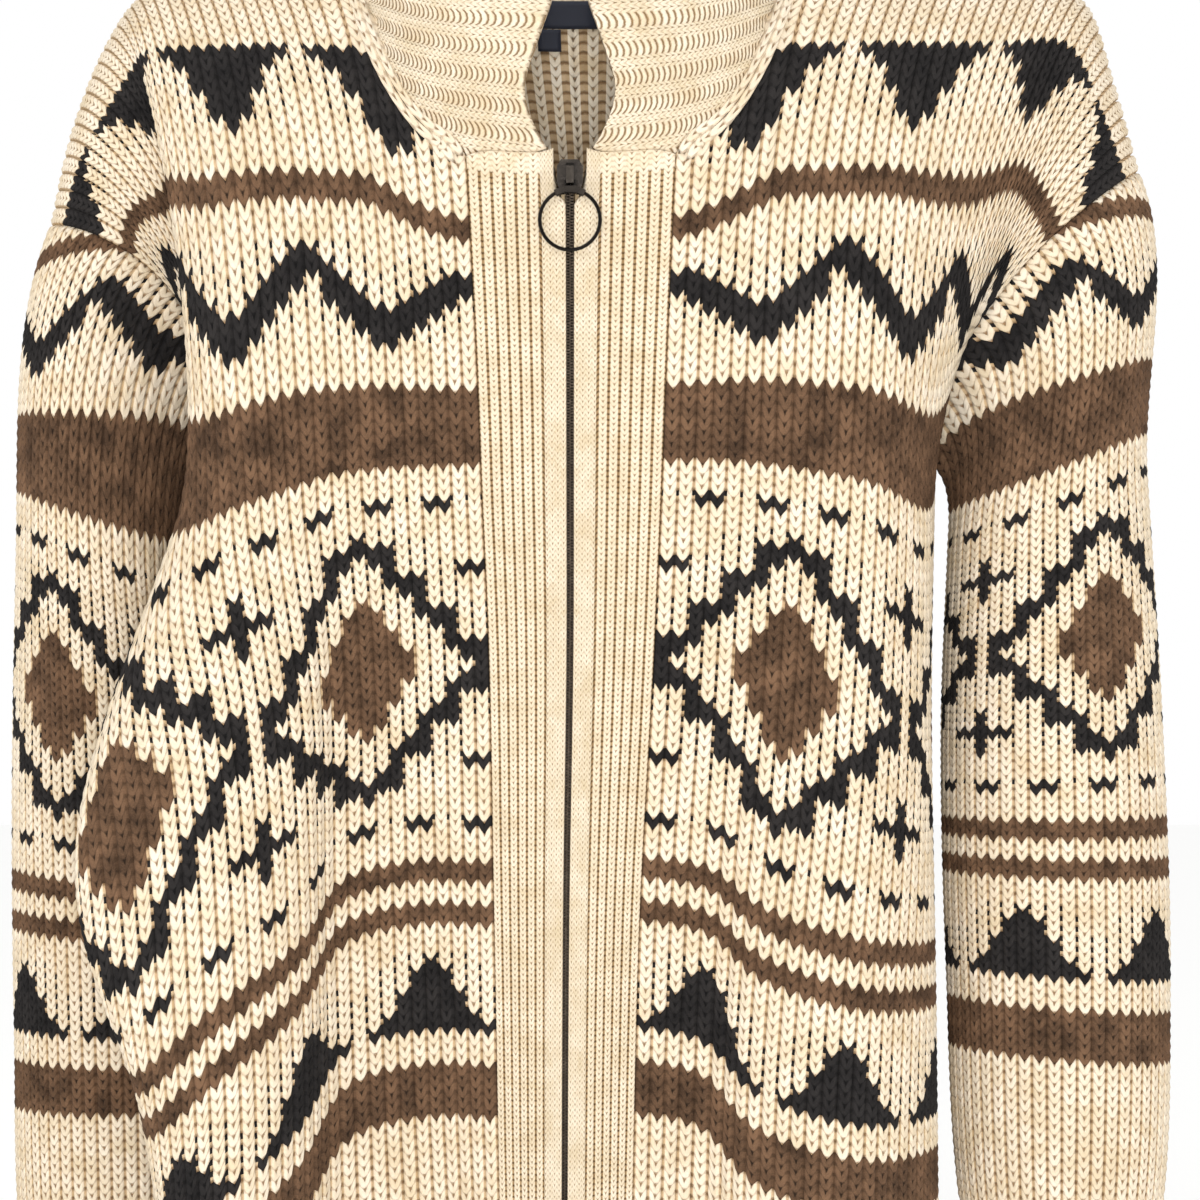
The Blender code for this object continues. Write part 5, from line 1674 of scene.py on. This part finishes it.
@dataclass
class CollarKnit:
    """The stand collar, knitted sideways so that its ribs run round the neck."""

    form: CollarForm
    placket: PlacketKnit
    knit_wale: float = 3.6
    purl_wale: float = 7.8
    stitches: int = 150
    wall: float = 4.6
    columns: int = 240
    shares: int = 40
    slack: float = 1.2
    # Wales. Columns: place from its middle, height in mid stitch, height where it tucks under
    # the next, climb
    knit: tuple = ((-0.5, 0.3, 0.0, 0.8), (-0.24, 1.5, 0.9, 0.45), (0.0, 1.0, 0.2, 0.0),
                   (0.24, 1.6, 1.0, 0.45))
    between: tuple = ((-0.5, 1.0, 0.4, 0.8),)
    purl: tuple = ((-0.5, 0.3, 0.0, 0.8), (-0.3, -0.9, -1.6, 0.45), (0.0, -0.6, -1.9, 0.3),
                   (0.3, -0.9, -1.6, 0.45))

    def sampled(self) -> Laid:
        """The collar from the right front round to the left one.

        Returns:
            Points and directions by share of the height and column, and the heights.
        """
        share = np.linspace(0, 1, self.shares + 1)
        points, normals, lengths = [], [], []
        for turn in np.linspace(0, 2, self.columns + 1):
            side = -1 if turn <= 1 else 1
            place = float(turn if turn <= 1 else 2 - turn)
            length = self.form.length(side, place)
            if place < self.form.top[1][0]:
                wale = abs(self.form.neck_edge(side, place)[0])
                length -= self.form.body.placket_top - float(self.placket.head(np.array(wale)))
            ends = self.form.normal(side, place, share * length)
            ends[-1] = self.form.neck_normal(side, place)
            points.append(self.form.point(side, place, share * length))
            normals.append(ends)
            lengths.append(length)
        return np.swapaxes(points, 0, 1), np.swapaxes(normals, 0, 1), np.array(lengths)

    def laid(self, turns: Array, drops: Array, rise: Array, lean: Array) -> Laid:
        """Lay a grid of turns and drops on the collar.

        Args:
            turns: Turn of each column, 0 at the right front edge and 2 at the left one.
            drops: Distance of each line down from the top edge.
            rise: Height off the mean face, by column and line.
            lean: Turn added on each line.

        Returns:
            The points, and the first and last line of each column.
        """
        turn = np.clip(turns[:, None] + lean[None], 0, 2)
        turn[0] = 0.0
        turn[-1] = 2.0
        knots = np.linspace(0, 2, self.columns + 1)
        length = np.interp(turn, knots, self.lengths)
        last = np.minimum((drops[None] < length - self.slack).sum(1), len(drops) - 1)
        sewn = np.arange(len(drops))[None] >= last[:, None]
        share = np.where(sewn, 1.0, np.clip(drops[None] / length, 0, 1))
        rise = sewn_down(rise, sewn)
        points, normals = (read_grid(grid, turn * self.columns / 2, share * self.shares)
                           for grid in (self.points, self.normals))
        return points + unit(normals) * rise[..., None], np.zeros(len(turns), int), last

    def piece(self, name: str, finishes: Sequence[Material]) -> Thing:
        """Knit the collar.

        Args:
            name: The object's name.
            finishes: Fine wool, and fine wool in a valley.

        Returns:
            The piece.
        """
        self.points, self.normals, self.lengths = self.sampled()
        wales = ((self.knit_wale, self.knit), (self.knit_wale, self.between + self.knit[1:]),
                 (self.purl_wale, self.purl))
        rows = []
        start = -0.5 * self.knit_wale
        number = 0
        while start < self.lengths.max() + self.purl_wale:
            for width, shape in wales:
                rows += [(start + (share + 0.5) * width, number + share, *rest, shape is self.purl)
                         for share, *rest in shape]
                start += width
                number += 1
        drop, place, high, low, climb, sunk = np.array([row for row in rows if row[0] >= 0], float).T
        turns = np.linspace(0, 2, 2 * self.stitches + 1)
        mid_stitch = (np.arange(len(turns)) % 2 == 1)[:, None]
        rise = np.where(mid_stitch, high[None], low[None])
        points, first, last = self.laid(turns, drop, rise, climb * 2 / self.stitches)
        # The wales run round the neck, so the lines give the places across the chart.
        charts = chart_places(turns * self.stitches / 2, place)[..., ::-1]
        yarns = np.repeat(sunk[:-1].astype(int)[None], len(turns) - 1, 0)
        outer = knit_skin(points, charts, yarns, first, last)
        coarse = turns[::4]
        plain = drop[::2]
        inside = np.repeat((-self.wall - 0.5 + 0.9 * sunk[::2])[None], len(coarse), 0)
        points, first, last = self.laid(coarse, plain, inside, np.zeros(len(plain)))
        inner = knit_skin(points, charts[::4, ::2], None, first, last)
        return cloth(name, outer, inner, finishes, outward=False)


@dataclass
class NeckEdgeKnit:
    """Two columns of decreases that run along the neckline beside the collar."""

    form: CollarForm
    side: int
    start: float = 0.162
    above: float = 1.5
    slant: float = 0.55
    wale: float = 6.2
    row: float = 5.7
    lift: float = 2.4
    columns: int = 2
    thickness: float = 2.0
    gauge: Gauge = CHUNKY

    def line(self) -> tuple[Array, Array]:
        """Places along the neckline up to the shoulder, and the distance along it to each."""
        places = np.linspace(self.start, self.form.top[2][0], 120)
        flat = np.array([self.form.neck_edge(self.side, float(p))[:2] for p in places])
        lengths = np.linalg.norm(np.diff(flat, axis=0), axis=1)
        return places, np.concatenate([[0.0], np.cumsum(lengths)])

    def at(self, place: float, offset: float) -> tuple[Array, Array]:
        """Point and direction beside the neckline: on the collar above it, on the front below."""
        form = self.form
        wale, course, _ = form.neck_edge(self.side, place)
        if offset < 0:
            drop = np.array(form.length(self.side, place) + offset)
            return form.point(self.side, place, drop), form.normal(self.side, place, drop)
        nudge = 0.01
        before = np.array(form.neck_edge(self.side, place - nudge)[:2])
        after = np.array(form.neck_edge(self.side, min(place + nudge, form.top[2][0]))[:2])
        along = unit(after - before)
        wale += self.side * abs(along[1]) * offset
        course += abs(along[0]) * offset
        return form.body.point(wale, course), form.body.normal(wale, course)

    def piece(self, name: str, finishes: Sequence[Material]) -> Thing:
        """Knit the edge.

        Args:
            name: The object's name.
            finishes: A material for each yarn.

        Returns:
            The piece.
        """
        gauge = self.gauge
        places, number = ribbed(gauge.places(), self.columns)
        offsets = (number + places + 0.5) * self.wale - self.above
        climb = gauge.read(gauge.climb, places)
        spots, lengths = self.line()
        levels = np.arange(0.0, lengths[-1] / self.row + 0.5, 0.5)
        heights = np.clip((levels[None] + self.slant * climb[:, None]) * self.row, 0, lengths[-1])
        at = np.interp(heights, lengths, spots)
        rise = self.lift + gauge.relief(places, levels)
        rise[[0, -1]] = -0.6
        pairs = np.array([[self.at(float(p), float(o)) for p in row] for row, o in zip(at, offsets)])
        points, normals = pairs[:, :, 0], pairs[:, :, 1]
        charts = chart_places(number + places, levels)
        outer = knit_skin(points + normals * rise[..., None], charts)
        inner = knit_skin(points - normals * self.thickness, charts)
        return cloth(name, outer, inner, finishes, outward=self.side < 0)


@dataclass
class Ribbon:
    """A thin woven label that lies on the inside of the back."""

    form: BodyForm
    wales: tuple[float, float]
    courses: tuple[float, float]
    lifts: tuple[float, float] = (-5.6, -6.4)
    cells: tuple[int, int] = (4, 6)

    def piece(self, name: str, finish: Material) -> Thing:
        """Weave the strip.

        Args:
            name: The object's name.
            finish: Its material.

        Returns:
            The piece.
        """
        wales = np.linspace(*self.wales, self.cells[0] + 1)
        courses = np.linspace(*self.courses, self.cells[1] + 1)
        wale, course = np.meshgrid(wales, courses, indexing="ij")
        points = self.form.point(wale, course, True)
        normals = self.form.normal(wale, course, True)
        charts = np.stack([wale, course], -1)
        skins = [knit_skin(points + normals * lift, charts) for lift in self.lifts]
        return cloth(name, *skins, [finish])


@dataclass
class ZipTeeth:
    """Metal teeth on both edges of the tape, meshed down the centre line."""

    form: BodyForm
    top: float = 131.0
    foot: float = 689.0
    pitch: float = 1.55
    half: float = 2.2
    lifts: tuple[float, float] = (-4.9, -2.6)
    length: float = 0.86  # share of the pitch
    cord: tuple[float, float] = (0.8, 1.2)  # share of the half width, thickness
    cord_steps: int = 60
    # Corners of a tooth. Columns: share of the half width, share of its length, whether it is up
    block: tuple = ((-1.0, -0.5, 0), (-1.0, 0.5, 0), (0.25, 0.32, 0), (0.25, -0.32, 0),
                    (-0.92, -0.36, 1), (-0.92, 0.36, 1), (0.12, 0.22, 1), (0.12, -0.22, 1))
    sides: tuple = ((0, 1, 2, 3), (7, 6, 5, 4), (0, 4, 5, 1), (1, 5, 6, 2), (2, 6, 7, 3), (3, 7, 4, 0))
    rubbed_and_highlight: tuple[int, ...] = (0, 1, 0, 0, 0, 0)  # which of these sides get the lighter metal: slider wear and a painted highlight

    def piece(self, name: str, finishes: Sequence[Material]) -> Thing:
        """Cast the teeth.

        Args:
            name: The object's name.
            finishes: The plated metal, and a lighter copy on the outward faces, for slider wear and a
                painted highlight.

        Returns:
            The teeth of both sides, with the cord that they grip.
        """
        count = int((self.foot - self.top) / self.pitch)
        courses = self.top + self.pitch * (np.arange(2 * count) * 0.5 + 0.5)
        middle = self.form.point(0.0, courses)
        normal = self.form.normal(0.0, courses)
        down = unit(self.form.point(0.0, courses + 1) - middle)
        across = unit(np.cross(normal, down))
        points, faces, kinds = [], [], []
        low = self.lifts[0]
        for k in range(2 * count):
            turn = 1.0 if k % 2 else -1.0
            start = len(points)
            for wide, long, up in self.block:
                points.append(middle[k] + across[k] * (wide * turn * self.half)
                              + down[k] * (long * self.pitch * self.length * turn)
                              + normal[k] * self.lifts[up])
            faces += [tuple(start + i for i in side[::-1]) for side in self.sides]
            kinds += self.rubbed_and_highlight
        steps = np.linspace(self.top, self.foot, self.cord_steps)
        spine = self.form.point(0.0, steps)
        out = self.form.normal(0.0, steps)
        start = len(points)
        wide, thick = self.cord
        for k in range(self.cord_steps):
            for place, lift in ((-wide, low), (wide, low), (wide, low + thick), (-wide, low + thick)):
                points.append(spine[k] + across[0] * place * self.half + out[k] * lift)
        for k in range(self.cord_steps - 1):
            for i in range(4):
                j = (i + 1) % 4
                a = start + 4 * k
                faces.append((a + i, a + i + 4, a + j + 4, a + j))
        faces += [(start, start + 1, start + 2, start + 3), (a + 7, a + 6, a + 5, a + 4)]
        kinds += [0] * (len(faces) - len(kinds))
        charts = np.zeros((len(points), 2))
        thing = meshed(name, np.array(points), np.array(faces), np.array(kinds), charts, finishes)
        thing.data.shade_flat()
        return thing


@dataclass
class Studio:
    """A pale floor, soft light and a level camera in front of the garment."""

    target: tuple[float, float, float] = (0.0159, -0.07, -0.355)
    distance: float = 1.7
    half_width: float = 0.318
    floor: float = -0.9

    def built(self) -> None:
        """Set up the floor, the lights, the world and the camera."""
        scene = bpy.context.scene
        mesh = bpy.data.meshes.new("studio_floor")
        size = 6.0
        corners = [(x * size, y * size, self.floor) for x, y in ((-1, -1), (1, -1), (1, 1), (-1, 1))]
        mesh.from_pydata(corners, [], [(0, 1, 2, 3)])
        floor = bpy.data.objects.new("studio_floor", mesh)
        scene.collection.objects.link(floor)
        paint = {"Base Color": linear("FAFAF9"), "Roughness": 0.9}
        mesh.materials.append(started("matt white floor paint", paint)[0])
        world = bpy.data.worlds.new("studio")
        world.use_nodes = True
        sky = world.node_tree.nodes["Background"]
        sky.inputs["Color"].default_value = linear("FFFFFF")
        sky.inputs["Strength"].default_value = 1.0
        scene.world = world
        scene.view_settings.view_transform = "Standard"
        # Columns: lamp, place, size, power in watts. The front lamp reaches inside the neck.
        for name, place, size, power in (("key", (-1.2, -2.2, 1.5), 1.6, 20.0),
                                         ("fill", (1.9, -2.2, 0.2), 2.0, 6.0),
                                         ("front", (0.03, -2.2, -0.42), 0.5, 22.0)):
            lamp = bpy.data.lights.new(name, "AREA")
            lamp.energy = power
            lamp.size = size
            light = bpy.data.objects.new(name, lamp)
            light.location = place
            aim = Vector(self.target) - Vector(place)
            light.rotation_euler = aim.to_track_quat("-Z", "Y").to_euler()
            scene.collection.objects.link(light)
        lens = bpy.data.cameras.new("front")
        lens.sensor_fit = "HORIZONTAL"
        lens.angle = 2 * math.atan(self.half_width / self.distance)
        camera = bpy.data.objects.new("front", lens)
        camera.location = (self.target[0], self.target[1] - self.distance, self.target[2])
        camera.rotation_euler = (math.pi / 2, 0.0, 0.0)
        scene.collection.objects.link(camera)
        scene.camera = camera


def settled(piece: Thing, nodes: Sequence[str]) -> None:
    """Fix a piece to the garment's body, for the nodes it stands for.

    Args:
        piece: The piece.
        nodes: CAD nodes that it replaces.
    """
    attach(piece, "cardigan")
    if nodes:
        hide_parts(*nodes)
    LOG.info("%s: %d faces", piece.name, len(piece.data.polygons))


def main() -> None:
    """Build the garment piece by piece, then the studio."""
    logging.basicConfig(level=logging.INFO, format="%(name)s: %(message)s")
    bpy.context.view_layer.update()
    made = {finish: finish.value.made() for finish in Finish}
    body = BodyForm()
    collar = CollarForm(body)
    wools = [made[f] for f in (Finish.CREAM, Finish.BROWN, Finish.BLACK, Finish.VALLEY_SHADE, Finish.LIT_LINING)]
    fine = [made[Finish.FINE], made[Finish.FINE_VALLEY_SHADE]]
    for word, side, front_cut in (("right", -1, 0.198), ("left", 1, 0.185)):
        arm = SleeveForm(body, side)
        front = BodyKnit(body, arm, collar, side, False).piece("knit_front_" + word, wools)
        settled(front, ["front_" + word])
        half = BodyKnit(body, arm, collar, side, True).piece("knit_back_" + word, wools)
        settled(half, ["back"] if side < 0 else [])
        sleeve = SleeveKnit(arm).piece("knit_sleeve_" + word, wools)
        settled(sleeve, ["sleeve_" + word])
        placket = PlacketKnit(body, side)
        band = placket.piece("knit_placket_" + word, fine)
        settled(band, ["placket_" + word])
        edge = NeckEdgeKnit(collar, side).piece("knit_neck_edge_" + word, wools)
        settled(edge, [])
    neck = CollarKnit(collar, placket).piece("knit_collar", [made[Finish.FINE], made[Finish.FINE_PURL]])
    settled(neck, ["collar"])
    # Columns: name, node, wales, courses
    for name, node, wales, courses in (("woven_label", "neck_label", (626.7, 658.3), (11.0, 27.0)),
                                       ("woven_tab", "size_tab", (646.2, 658.0), (27.3, 40.0))):
        label = Ribbon(body, wales, courses).piece(name, made[Finish.LABEL])
        settled(label, [node])
    teeth = ZipTeeth(body).piece("zip_teeth", [made[Finish.TEETH], made[Finish.RUBBED_AND_HIGHLIGHT]])
    settled(teeth, ["zip_chain"])
    repainted = {Finish.PULL: ("zip_box", "slider", "pull_tab", "pull_ring"),
                 Finish.TAPE: ("zip_tape_right", "zip_tape_left")}
    for finish, nodes in repainted.items():
        for node in nodes:
            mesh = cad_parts[node].data
            mesh.materials.clear()
            mesh.materials.append(made[finish])
            LOG.info("%s: %s", node, made[finish].name)
    Studio().built()


if __name__ == "__main__":
    main()
